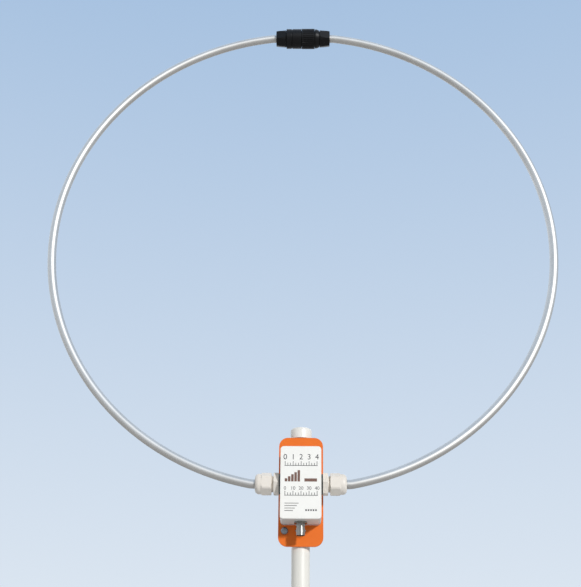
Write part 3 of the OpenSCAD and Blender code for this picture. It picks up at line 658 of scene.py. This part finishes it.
lid = rounded_slab("case_back_lid", *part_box("case_lid"), case_corner)
ease_edges(lid, lid_edge)
lid.data.materials.append(case_white)
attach(lid, "head")
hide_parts("case_lid")


def dress_nodes(finish, *nodes):
    """Gives a finish to CAD nodes that keep their shape."""
    for node in nodes:
        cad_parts[node].material_slots[0].material = finish


# Moulded rubber: black and dull, with a slight grey bloom
seal_black = moulded(
    "moulded black rubber", rubber_colour, rubber_bloom,
    roughness=0.68, grain=rubber_grain, depth=0.03 * mm, ior=1.52,
)
dress_nodes(seal_black, "case_gasket")

case_screw_length = plate_high.y - case_high.y + case_screw_bite
screw_pattern = pan_screw("case_screw", case_screw_r, case_screw_length, case_head_r, case_head_t)
screw_pattern.data.materials.append(zinc)
for side, x in zip(("left", "right"), case_screw_xs):
    for end, z in zip(("lower", "upper"), case_screw_zs):
        name = f"case_screw_{side}_{end}"
        screw = copy_of(screw_pattern, name, (x, plate_high.y, z), facing_back)
        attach(screw, "head")
        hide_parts("case_screws")
bpy.data.objects.remove(screw_pattern)


# Front label: a white vinyl film over the whole face of the case, with rounded corners.
# It is screen-printed with plain scales, figures and bars, and its ink stands a little proud of the film.
label_low, label_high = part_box("front_label")
label_corner = 3.1 * mm
ink_t = 0.06 * mm
film_edge = 0.08 * mm
film_colour = "#F6F6F3"
film_aged = "#EFEFEA"
film_grain = 1.2 * mm
ink_black = "#2B2A2C"
ink_black_worn = "#38363A"
ink_brown = "#6B4A3E"
ink_brown_worn = "#76564A"
ink_speck = 0.5 * mm
figure_share = 0.69
rule_t = 0.6 * mm
rule_over = 0.4 * mm
print_left = 4.5 * mm
scale_feet = (56 * mm, 24 * mm)
figure_count = 5
ticks_per_figure = 3
tick_step = 2.85 * mm
tick_h = 2.6 * mm
long_tick_h = 4.4 * mm
top_figure_foot = 63 * mm
top_figure_h = 5.8 * mm
low_figure_foot = 30.2 * mm
low_figure_h = 3.6 * mm
bars_foot = 39 * mm
bar_count = 5
bar_w = 2.7 * mm
bar_step = 3.4 * mm
bar_h = 3.4 * mm
bar_rise = 2.2 * mm
flat_bar_left = 25.5 * mm
flat_bar_w = 13.4 * mm
lines_top = 15.6 * mm
line_count = 4
line_w = 15 * mm
line_step = 2.6 * mm
line_less = 2 * mm
squares_left = 26.5 * mm
squares_foot = 7.8 * mm
square_count = 5
square_w = 1.7 * mm
square_step = 2.6 * mm

film_front = label_low.y + ink_t
film_low = Vector((label_low.x, film_front, label_low.z))
film = rounded_slab("label_film", film_low, label_high, label_corner)
ease_edges(film, film_edge)

# Vinyl film: bright white with a soft sheen
film_white = moulded(
    "white vinyl film", film_colour, film_aged,
    roughness=0.5, grain=film_grain, depth=0.01 * mm, ior=1.5,
)
film.data.materials.append(film_white)
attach(film, "head")
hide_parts("front_label")


def printed(left, foot, width, height):
    """A printed bar, by its lower left corner on the label and its size."""
    size = Vector((width, ink_t, height))
    return block(label_low + Vector((left, 0, foot)) + size / 2, size)


def printed_row(left, foot, width, height, count, step):
    """Like bars in a row, a step apart."""
    bar = printed(left, foot, width, height)
    row = bar.modifiers.new("row", "ARRAY")
    row.count = count
    row.use_relative_offset = False
    row.use_constant_offset = True
    row.constant_offset_displace = (step, 0, 0)
    bpy.ops.object.modifier_apply(modifier=row.name)
    return bar


def figure(text, centre, foot, height):
    """A printed number, by the middle of its foot on the label and its height."""
    bpy.ops.object.text_add()
    number = bpy.context.object
    number.data.body = text
    number.data.align_x = "CENTER"
    number.data.size = height / figure_share
    number.data.extrude = ink_t / 2
    bpy.ops.object.convert(target="MESH")
    place(number, label_low + Vector((centre, ink_t / 2, foot)), facing_front)
    return number


def print_of(name, marks, ink):
    """All the marks of one ink, joined into one piece of print with its seams closed."""
    bpy.ops.object.select_all(action="DESELECT")
    for mark in marks:
        mark.select_set(True)
    bpy.context.view_layer.objects.active = marks[0]
    bpy.ops.object.join()
    piece = bpy.context.object
    piece.name = name
    merge_points(piece, merge_gap)
    piece.data.materials.clear()
    piece.data.materials.append(ink)
    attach(piece, "head")


figure_step = ticks_per_figure * tick_step
scale_w = (figure_count - 1) * figure_step + rule_t
black_marks = []
for foot in scale_feet:
    tick_foot = foot + rule_t
    black_marks.append(printed(print_left - rule_over, foot, scale_w + 2 * rule_over, rule_t))
    black_marks.append(printed_row(print_left, tick_foot, rule_t, long_tick_h, figure_count, figure_step))
    for tick in range(1, ticks_per_figure):
        left = print_left + tick * tick_step
        black_marks.append(printed_row(left, tick_foot, rule_t, tick_h, figure_count - 1, figure_step))
for number in range(figure_count):
    centre = print_left + rule_t / 2 + number * figure_step
    black_marks.append(figure(str(number), centre, top_figure_foot, top_figure_h))
    black_marks.append(figure(str(10 * number), centre, low_figure_foot, low_figure_h))
for line in range(line_count):
    foot = lines_top - line * line_step
    black_marks.append(printed(print_left, foot, line_w - line * line_less, rule_t))
black_marks.append(printed_row(squares_left, squares_foot, square_w, square_w, square_count, square_step))
brown_marks = [printed(flat_bar_left, bars_foot, flat_bar_w, bar_h)]
for bar in range(bar_count):
    brown_marks.append(printed(print_left + bar * bar_step, bars_foot, bar_w, bar_h + bar * bar_rise))

# Screen ink: dense and slightly matt
ink_look = {"roughness": 0.5, "grain": ink_speck, "depth": 0.01 * mm, "ior": 1.5}
black_ink = moulded("black screen ink", ink_black, ink_black_worn, **ink_look)
brown_ink = moulded("brown screen ink", ink_brown, ink_brown_worn, **ink_look)
print_of("label_figures", black_marks, black_ink)
print_of("label_bars", brown_marks, brown_ink)


# Circuit: a green board on bosses inside the tray, with its transformers, transistors and capacitors.
# Brass posts join the two tube ends to it, and a short red lead joins it to the output jack.
board_colour = "#1E5A36"
board_shade = "#174A2B"
weave_thread = 0.6 * mm
component_colour = "#1A1A1C"
component_shade = "#242427"
component_grain = 0.4 * mm
sleeve_colour = "#22408A"
sleeve_shade = "#1A3374"
lead_colour = "#B3241F"
lead_shade = "#9A1C18"
brass_colour = "#D8B25A"
brass_dull = "#B8924A"
brass_patch = 2 * mm

# Solder mask: glossy green, a little uneven over the glass cloth of the board
board_green = moulded(
    "green solder mask", board_colour, board_shade,
    roughness=0.3, grain=weave_thread, depth=0.02 * mm, ior=1.5,
)
dress_nodes(board_green, "circuit_board")

# Moulded epoxy: black and half matt
component_black = moulded(
    "black moulded epoxy", component_colour, component_shade,
    roughness=0.5, grain=component_grain, depth=0.02 * mm, ior=1.55,
)
dress_nodes(component_black, "input_transformer", "output_transformer", "transistors")

# Plastic sleeve and wire insulation: smooth and rather glossy
sleeve_blue = moulded(
    "blue plastic sleeve", sleeve_colour, sleeve_shade,
    roughness=0.3, grain=component_grain, depth=0.01 * mm, ior=1.53,
)
lead_red = moulded(
    "red wire insulation", lead_colour, lead_shade,
    roughness=0.4, grain=component_grain, depth=0.01 * mm, ior=1.53,
)
dress_nodes(sleeve_blue, "capacitors")
dress_nodes(lead_red, "jack_lead")

# Turned brass: bright yellow, dulled in patches
brass = plated("turned brass", brass_colour, brass_dull, roughness=0.28, patch=brass_patch)
dress_nodes(brass, "terminal_posts")
dress_nodes(zinc, "board_screws", "terminal_screws")


# Output jack: a bayonet jack through the underside of the case, held by its nut and washer inside.
# Its shell is nickel-plated brass with two lugs, turned, round a white insulator and a brass contact.
jack_low, jack_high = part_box("jack_shell")
jack_r = 4.85 * mm
jack_bore_r = 4.05 * mm
jack_flange_r = jack_high.x
jack_flange_t = 1.8 * mm
jack_thread_r = 4.82 * mm
jack_groove_depth = 0.35 * mm
jack_groove_low = 7.4 * mm
jack_groove_high = 9.4 * mm
jack_edge = 0.2 * mm
lug_r = 1 * mm
lug_span = 11 * mm
lug_rise = 5 * mm
# The two nickel greys are darker than bare nickel plating: painted shade.
nickel_with_painted_shade = "#9E9991"
nickel_dull_with_painted_shade = "#7F7A73"
nickel_patch = 2.5 * mm
insulator_colour = "#F2F1EC"
insulator_shade = "#E6E4DC"
insulator_grain = 0.5 * mm

jack = turned("bayonet_jack", [
    (jack_low.z, jack_bore_r),
    (jack_low.z, jack_r),
    (jack_low.z + jack_groove_low, jack_r),
    (jack_low.z + jack_groove_low, jack_r - jack_groove_depth),
    (jack_low.z + jack_groove_high, jack_r - jack_groove_depth),
    (jack_low.z + jack_groove_high, jack_r),
    (case_low.z - jack_flange_t, jack_r),
    (case_low.z - jack_flange_t, jack_flange_r),
    (case_low.z, jack_flange_r),
    (case_low.z, jack_thread_r),
    (jack_high.z, jack_thread_r),
    (jack_high.z, jack_bore_r),
    (jack_low.z, jack_bore_r),
])
for side in (-1, 1):
    lug = turned("lug", [((jack_bore_r + jack_r) / 2, lug_r), (lug_span / 2, lug_r)], sides=32)
    place(lug, (0, 0, jack_low.z + lug_rise), (0, 90 * side, 0))
    combine(jack, lug, "UNION")
place(jack, (0, loop_y, 0))
ease_edges(jack, jack_edge)

# Nickel plating: warm, dulled in places by plugs going on and off, and painted darker overall than bare
# nickel as painted shade
nickel = plated("nickel-plated brass", nickel_with_painted_shade, nickel_dull_with_painted_shade, roughness=0.24, patch=nickel_patch)
jack.data.materials.append(nickel)
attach(jack, "head")
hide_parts("jack_shell")

# Turned insulator: a waxy white fluoroplastic
white_insulator = moulded(
    "white fluoroplastic", insulator_colour, insulator_shade,
    roughness=0.42, grain=insulator_grain, depth=0.01 * mm, ior=1.38,
)
dress_nodes(white_insulator, "jack_insulator")
dress_nodes(brass, "jack_contact")
dress_nodes(nickel, "jack_washer", "jack_nut")


# Cable glands: one in each side of the case, where a tube end goes in.
# Each is moulded in ivory nylon: a body with a hexagon against a black washer, and a domed nut on it.
washer_r = 11 * mm
washer_bore_r = 9.5 * mm
washer_edge = 0.4 * mm
gland_across = 22 * mm
gland_hex_t = 5.6 * mm
gland_hex_chamfer = 0.7 * mm
gland_edge = 0.4 * mm
gland_bore_r = 5.5 * mm
gland_seat_r = 7.2 * mm
gland_seat_depth = 9 * mm
gland_stub_r = 9.3 * mm
gland_stub_chamfer = 0.8 * mm
gland_neck_r = 8.8 * mm
thread_pitch = 1.5 * mm
thread_depth = 0.5 * mm
crest_share = 0.3
body_low, body_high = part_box("right_gland_body")
nut_low, nut_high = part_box("right_gland_nut")
nut_hex_len = 11 * mm
nut_hex_round = 1.1 * mm
nut_corner_trim = nut_high.z - gland_z
nut_start_chamfer = 0.7 * mm
dome_r = 10.97 * mm
dome_round = 4.5 * mm
dome_overlap = 1 * mm
mouth_r = 6.5 * mm
gland_colour = "#ECE6DE"
gland_aged = "#E1DACF"
gland_grain = 0.8 * mm


def on_axis(piece, z):
    """Lays a piece that was turned on Z along X instead, on the loop's plane at a height."""
    place(piece, (0, loop_y, z), facing_right)


def other_side(piece, name):
    """A copy of a piece for the other side of the head, turned half round."""
    return copy_of(piece, name, (0, 2 * loop_y, 0), (0, 0, 180))


washer = hollow_ring("right_washer", gland_low.x, gland_high.x, washer_bore_r, washer_r)
ease_edges(washer, washer_edge)
on_axis(washer, gland_z)
washer.data.materials.append(seal_black)

hex_low = gland_high.x
hex_high = hex_low + gland_hex_t
hex_corner_r = gland_across / math.sqrt(3)
body = hexagon("right_body", gland_across, hex_low, hex_high, [
    (hex_low, hex_corner_r),
    (hex_high - gland_hex_chamfer, hex_corner_r),
    (hex_high, hex_corner_r - gland_hex_chamfer),
])
thread_low = hex_high - thread_pitch / 2
turns = int((body_high.x - thread_low) / thread_pitch)
ridges = [(thread_low, gland_neck_r - thread_depth)]
crest = crest_share * thread_pitch
for turn in range(turns):
    crest_middle = thread_low + (turn + 0.5) * thread_pitch
    ridges.append((crest_middle - crest / 2, gland_neck_r))
    ridges.append((crest_middle + crest / 2, gland_neck_r))
    ridges.append((thread_low + (turn + 1) * thread_pitch, gland_neck_r - thread_depth))
stem = turned("stem", [
    (body_low.x, gland_stub_r - gland_stub_chamfer),
    (body_low.x + gland_stub_chamfer, gland_stub_r),
    (hex_low + gland_stub_chamfer, gland_stub_r),
] + ridges + [(body_high.x, gland_neck_r - thread_depth)])
combine(body, stem, "UNION")
drill(body, (0, 0, body_low.x), gland_bore_r, 3 * body_high.x, turn=upright)
drill(body, (0, 0, body_high.x), gland_seat_r, 2 * gland_seat_depth, turn=upright)
ease_edges(body, gland_edge)
on_axis(body, gland_z)

dome_low = nut_low.x + nut_hex_len
nut_start = [
    (nut_low.x, nut_corner_trim - nut_start_chamfer),
    (nut_low.x + nut_start_chamfer, nut_corner_trim),
]
nut_envelope = nut_start + rounded_end(dome_low, nut_corner_trim, nut_hex_round)
gland_nut = hexagon("right_nut", gland_across, nut_low.x, dome_low, nut_envelope, corner_first=True)
dome = [(dome_low - dome_overlap, dome_r)] + rounded_end(nut_high.x, dome_r, dome_round, steps=9)
combine(gland_nut, turned("dome", dome, sides=96), "UNION")
drill(gland_nut, (0, 0, nut_low.x), gland_neck_r, 2 * (body_high.x - nut_low.x), turn=upright)
drill(gland_nut, (0, 0, nut_high.x), mouth_r, nut_high.x, turn=upright)
ease_edges(gland_nut, gland_edge)
on_axis(gland_nut, gland_z)

# Moulded nylon in ivory: creamy, with a satin grain
gland_ivory = moulded(
    "moulded ivory nylon", gland_colour, gland_aged,
    roughness=0.44, grain=gland_grain, depth=0.03 * mm, ior=1.53,
)
body.data.materials.append(gland_ivory)
gland_nut.data.materials.append(gland_ivory)
gland_pieces = ((washer, "washer", None), (body, "body", None), (gland_nut, "nut", "gland_nut"))
for piece, part, rides_on in gland_pieces:
    other = other_side(piece, "left_" + part)
    for side, gland_piece in (("right", piece), ("left", other)):
        gland_piece.name = f"{side}_gland_{part}_skin"
        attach(gland_piece, f"{side}_{rides_on}" if rides_on else "head")
        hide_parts(f"{side}_gland_{part}")
dress_nodes(seal_black, "left_gland_seal", "right_gland_seal")
dress_nodes(gland_ivory, "left_gland_locknut", "right_gland_locknut")


# Loop: two half rings of drawn aluminium tube, each bent a little tighter at its ends.
# The low ends are clamped by the glands, and the top ends by the coupler.
tube_foot_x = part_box("right_tube")[0].x
tube_r = 5 * mm
tube_wall = 1 * mm
tube_edge = 0.2 * mm
loop_r = 300 * mm
bend_r = 35 * mm
low_turn = math.radians(11)
top_turn = math.radians(8)
bend_steps = 8
loop_steps = 120
tube_colour = "#D6D4D0"
tube_dull = "#BEBBB6"
draw_mark = 0.8 * mm
smudge = 38 * mm

low_bend_x = (loop_r - bend_r) * math.sin(low_turn)
top_bend_x = (loop_r - bend_r) * math.sin(top_turn)
loop_z = gland_z + bend_r + (loop_r - bend_r) * math.cos(low_turn)
top_bend_z = loop_z + (loop_r - bend_r) * math.cos(top_turn)
plug_low, plug_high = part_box("coupler_plug")
coupler_z = (plug_low.z + plug_high.z) / 2
tube_top_x = 11.4 * mm

bpy.ops.object.select_all(action="DESELECT")
bpy.ops.mesh.primitive_circle_add(
    vertices=40,
    radius=tube_r,
    location=(tube_foot_x, loop_y, gland_z),
    rotation=(0, math.radians(90), 0),
)
tube = bpy.context.object
bpy.ops.object.transform_apply()
bpy.ops.object.mode_set(mode="EDIT")
bpy.ops.mesh.select_all(action="SELECT")
bpy.ops.mesh.extrude_region_move(TRANSFORM_OT_translate={"value": (low_bend_x - tube_foot_x, 0, 0)})
bends = (
    (bend_steps, low_turn, (low_bend_x, loop_y, gland_z + bend_r)),
    (loop_steps, math.pi - low_turn - top_turn, (0, loop_y, loop_z)),
    (bend_steps, top_turn, (top_bend_x, loop_y, top_bend_z)),
)
for steps, turn, centre in bends:
    bpy.ops.mesh.spin(steps=steps, angle=turn, center=centre, axis=(0, 1, 0))
bpy.ops.mesh.extrude_region_move(TRANSFORM_OT_translate={"value": (tube_top_x - top_bend_x, 0, 0)})
bpy.ops.mesh.select_all(action="SELECT")
bpy.ops.mesh.remove_doubles(threshold=merge_gap)
bpy.ops.mesh.normals_make_consistent(inside=False)
bpy.ops.object.mode_set(mode="OBJECT")
wall = tube.modifiers.new("wall", "SOLIDIFY")
wall.thickness = tube_wall
wall.offset = -1
bpy.ops.object.modifier_apply(modifier=wall.name)
ease_edges(tube, tube_edge)

# Drawn aluminium: satin silver, with fine draw marks that run along the tube and soft smudges.
# A mark's place is its distance from the loop's middle and from the loop's plane, so it follows the ring.
# The real marks are too fine to show, so they are drawn wider apart.
tube_silver, tree, shader, where = new_finish("drawn aluminium")
centred = {"Vector": where, "Location": (0, -loop_y, -loop_z)}
centred = add_node(tree, "ShaderNodeMapping", {}, centred).outputs[0]
flat = add_node(tree, "ShaderNodeMapping", {}, {"Vector": centred, "Scale": (1, 0, 1)}).outputs[0]
from_middle = add_node(tree, "ShaderNodeVectorMath", {"operation": "LENGTH"}, {0: flat}).outputs["Value"]
from_plane = add_node(tree, "ShaderNodeSeparateXYZ", {}, {0: centred}).outputs["Y"]
section = {"X": from_middle, "Y": from_plane}
section = add_node(tree, "ShaderNodeCombineXYZ", {}, section).outputs[0]
marks = {"Vector": section, "Scale": 1 / draw_mark, "Detail": 4}
marks = add_node(tree, "ShaderNodeTexNoise", {}, marks).outputs[0]
smudges = {"Vector": where, "Scale": 1 / smudge, "Detail": 5}
smudges = add_node(tree, "ShaderNodeTexNoise", {}, smudges).outputs[0]
tints = {0: smudges, 6: linear(tube_colour), 7: linear(tube_dull)}
tint = add_node(tree, "ShaderNodeMix", {"data_type": "RGBA"}, tints).outputs[2]
gloss = {"Value": marks, "To Min": 0.44, "To Max": 0.6}
gloss = add_node(tree, "ShaderNodeMapRange", {}, gloss).outputs[0]
relief = {"Height": marks, "Strength": 0.3, "Distance": 0.02 * mm}
relief = add_node(tree, "ShaderNodeBump", {}, relief).outputs[0]
set_inputs(tree, shader, {"Base Color": tint, "Roughness": gloss, "Normal": relief, "Metallic": 1})
tube.data.materials.append(tube_silver)
tube.name = "right_half_loop"
other_tube = other_side(tube, "left_half_loop")
for side, half in (("right", tube), ("left", other_tube)):
    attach(half, "head")
    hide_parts(side + "_tube")


# Coupler: a waterproof screw connector of black nylon that joins the two tubes at the top.
# A fluted ring pulls the plug's and the socket's shells together, and a hexagon nut clamps each tube.
shell_edge = 0.3 * mm
socket_low, socket_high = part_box("coupler_socket")
ring_low, ring_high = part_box("coupler_ring")
end_low, end_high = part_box("right_coupler_nut")
end_gap = 0.3 * mm
plug_r = 12.7 * mm
plug_start = end_gap - end_low.x
plug_face = ring_low.x - end_gap
groove_inset = 6.6 * mm
groove_w = 1.2 * mm
groove_depth = 0.7 * mm
groove_start = plug_start + groove_inset
groove_end = groove_start + groove_w
barrel_r = 10 * mm
cavity_r = 7.2 * mm
guide_r = 5.2 * mm
neck_r = 8.8 * mm
seat_start = 22.4 * mm
collar_w = 2.5 * mm
collar_start = ring_high.x + end_gap
cone_start = collar_start + collar_w
collar_end = end_low.x - end_gap
collar_r = 12.2 * mm
collar_end_r = 10.6 * mm
ring_r = 13 * mm
ring_bore_r = 10.05 * mm
ring_rim = 1.5 * mm
ring_edge = 0.4 * mm
flutes = 30
flute_sides = 8
flute_share = 0.4
flute_depth = 0.55 * mm
flute_run = 0.6 * mm
end_across = 21.5 * mm
end_corner_r = end_high.z - coupler_z
end_round = 2 * mm
end_face_t = 2 * mm
end_bore_r = 5.5 * mm
end_chamfer = 0.6 * mm
end_draft = 7.6
end_sharp = 14
coupler_colour = "#09090A"
coupler_bloom = "#111113"
coupler_grain = 0.7 * mm

plug = turned("coupler_plug_shell", [
    (plug_low.x, cavity_r),
    (plug_low.x, neck_r),
    (plug_start, neck_r),
    (plug_start, plug_r),
    (groove_start, plug_r),
    (groove_start, plug_r - groove_depth),
    (groove_end, plug_r - groove_depth),
    (groove_end, plug_r),
    (plug_face, plug_r),
    (plug_face, barrel_r),
    (plug_high.x, barrel_r),
    (plug_high.x, cavity_r),
    (-tube_top_x, cavity_r),
    (-tube_top_x, guide_r),
    (-seat_start, guide_r),
    (-seat_start, cavity_r),
    (plug_low.x, cavity_r),
], sides=96)
ease_edges(plug, shell_edge)
on_axis(plug, coupler_z)

socket = turned("coupler_socket_shell", [
    (socket_low.x, cavity_r),
    (socket_low.x, barrel_r),
    (collar_start, barrel_r),
    (collar_start, collar_r),
    (cone_start, collar_r),
    (collar_end, collar_end_r),
    (collar_end, neck_r),
    (socket_high.x, neck_r),
    (socket_high.x, cavity_r),
    (seat_start, cavity_r),
    (seat_start, guide_r),
    (tube_top_x, guide_r),
    (tube_top_x, cavity_r),
    (socket_low.x, cavity_r),
], sides=96)
ease_edges(socket, shell_edge)
on_axis(socket, coupler_z)

fluted_low = ring_low.x + ring_rim
fluted_high = ring_high.x - ring_rim
ring = turned("fluted_ring", [
    (ring_low.x, ring_bore_r),
    (ring_low.x, ring_r - ring_edge),
    (ring_low.x + ring_edge, ring_r),
    (fluted_low, ring_r),
    (fluted_low + flute_run, ring_r),
    (fluted_high - flute_run, ring_r),
    (fluted_high, ring_r),
    (ring_high.x - ring_edge, ring_r),
    (ring_high.x, ring_r - ring_edge),
    (ring_high.x, ring_bore_r),
    (ring_low.x, ring_bore_r),
], sides=flutes * flute_sides)


def in_flute(point):
    """Whether a point of the ring's fluted stretch lies in a flute, and not on the land between two."""
    off_land = abs(math.atan2(point.y, point.x) / math.tau * flutes % 1 - 0.5)
    fluted = fluted_low + merge_gap < point.z < fluted_high - merge_gap
    return fluted and point.xy.length > barrel_r + ring_rim and off_land > (1 - flute_share) / 2


select_points(ring, in_flute)
shrink = 1 - flute_depth / ring_r
bpy.ops.transform.resize(value=(shrink, shrink, 1), center_override=(0, 0, fluted_low))
bpy.ops.object.mode_set(mode="OBJECT")
bpy.ops.object.shade_smooth_by_angle(angle=math.radians(sharp_edge))
on_axis(ring, coupler_z)

end_start = [(end_low.x, end_corner_r - end_chamfer), (end_low.x + end_chamfer, end_corner_r)]
end_envelope = end_start + rounded_end(end_high.x, end_corner_r, end_round, steps=9)
end_nut = hexagon(
    "right_end_nut", end_across, end_low.x, end_high.x, end_envelope, corner_first=True, draft=end_draft
)
end_hollow = end_high.x - end_face_t - end_low.x
drill(end_nut, (0, 0, end_low.x), neck_r, 2 * end_hollow, turn=upright)
drill(end_nut, (0, 0, end_high.x), end_bore_r, end_high.x, turn=upright)
ease_edges(end_nut, shell_edge, sharp=end_sharp)
on_axis(end_nut, coupler_z)

# Moulded nylon in black: satin, with a faint grey bloom
coupler_black = moulded(
    "moulded black nylon", coupler_colour, coupler_bloom,
    roughness=0.44, grain=coupler_grain, depth=0.02 * mm, ior=1.3,
)
for piece in (plug, socket, ring, end_nut):
    piece.data.materials.append(coupler_black)
coupler_pieces = (
    (plug, "coupler_plug", "head"),
    (socket, "coupler_socket", "head"),
    (ring, "coupler_ring", "coupler_ring"),
    (end_nut, "right_coupler_nut", "right_coupler_nut"),
    (other_side(end_nut, "left_end_nut"), "left_coupler_nut", "left_coupler_nut"),
)
for piece, node, rides_on in coupler_pieces:
    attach(piece, rides_on)
    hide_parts(node)
dress_nodes(seal_black, "left_coupler_seal", "right_coupler_seal", "coupler_o_ring")
dress_nodes(brass, "contact_pin", "contact_sleeve")
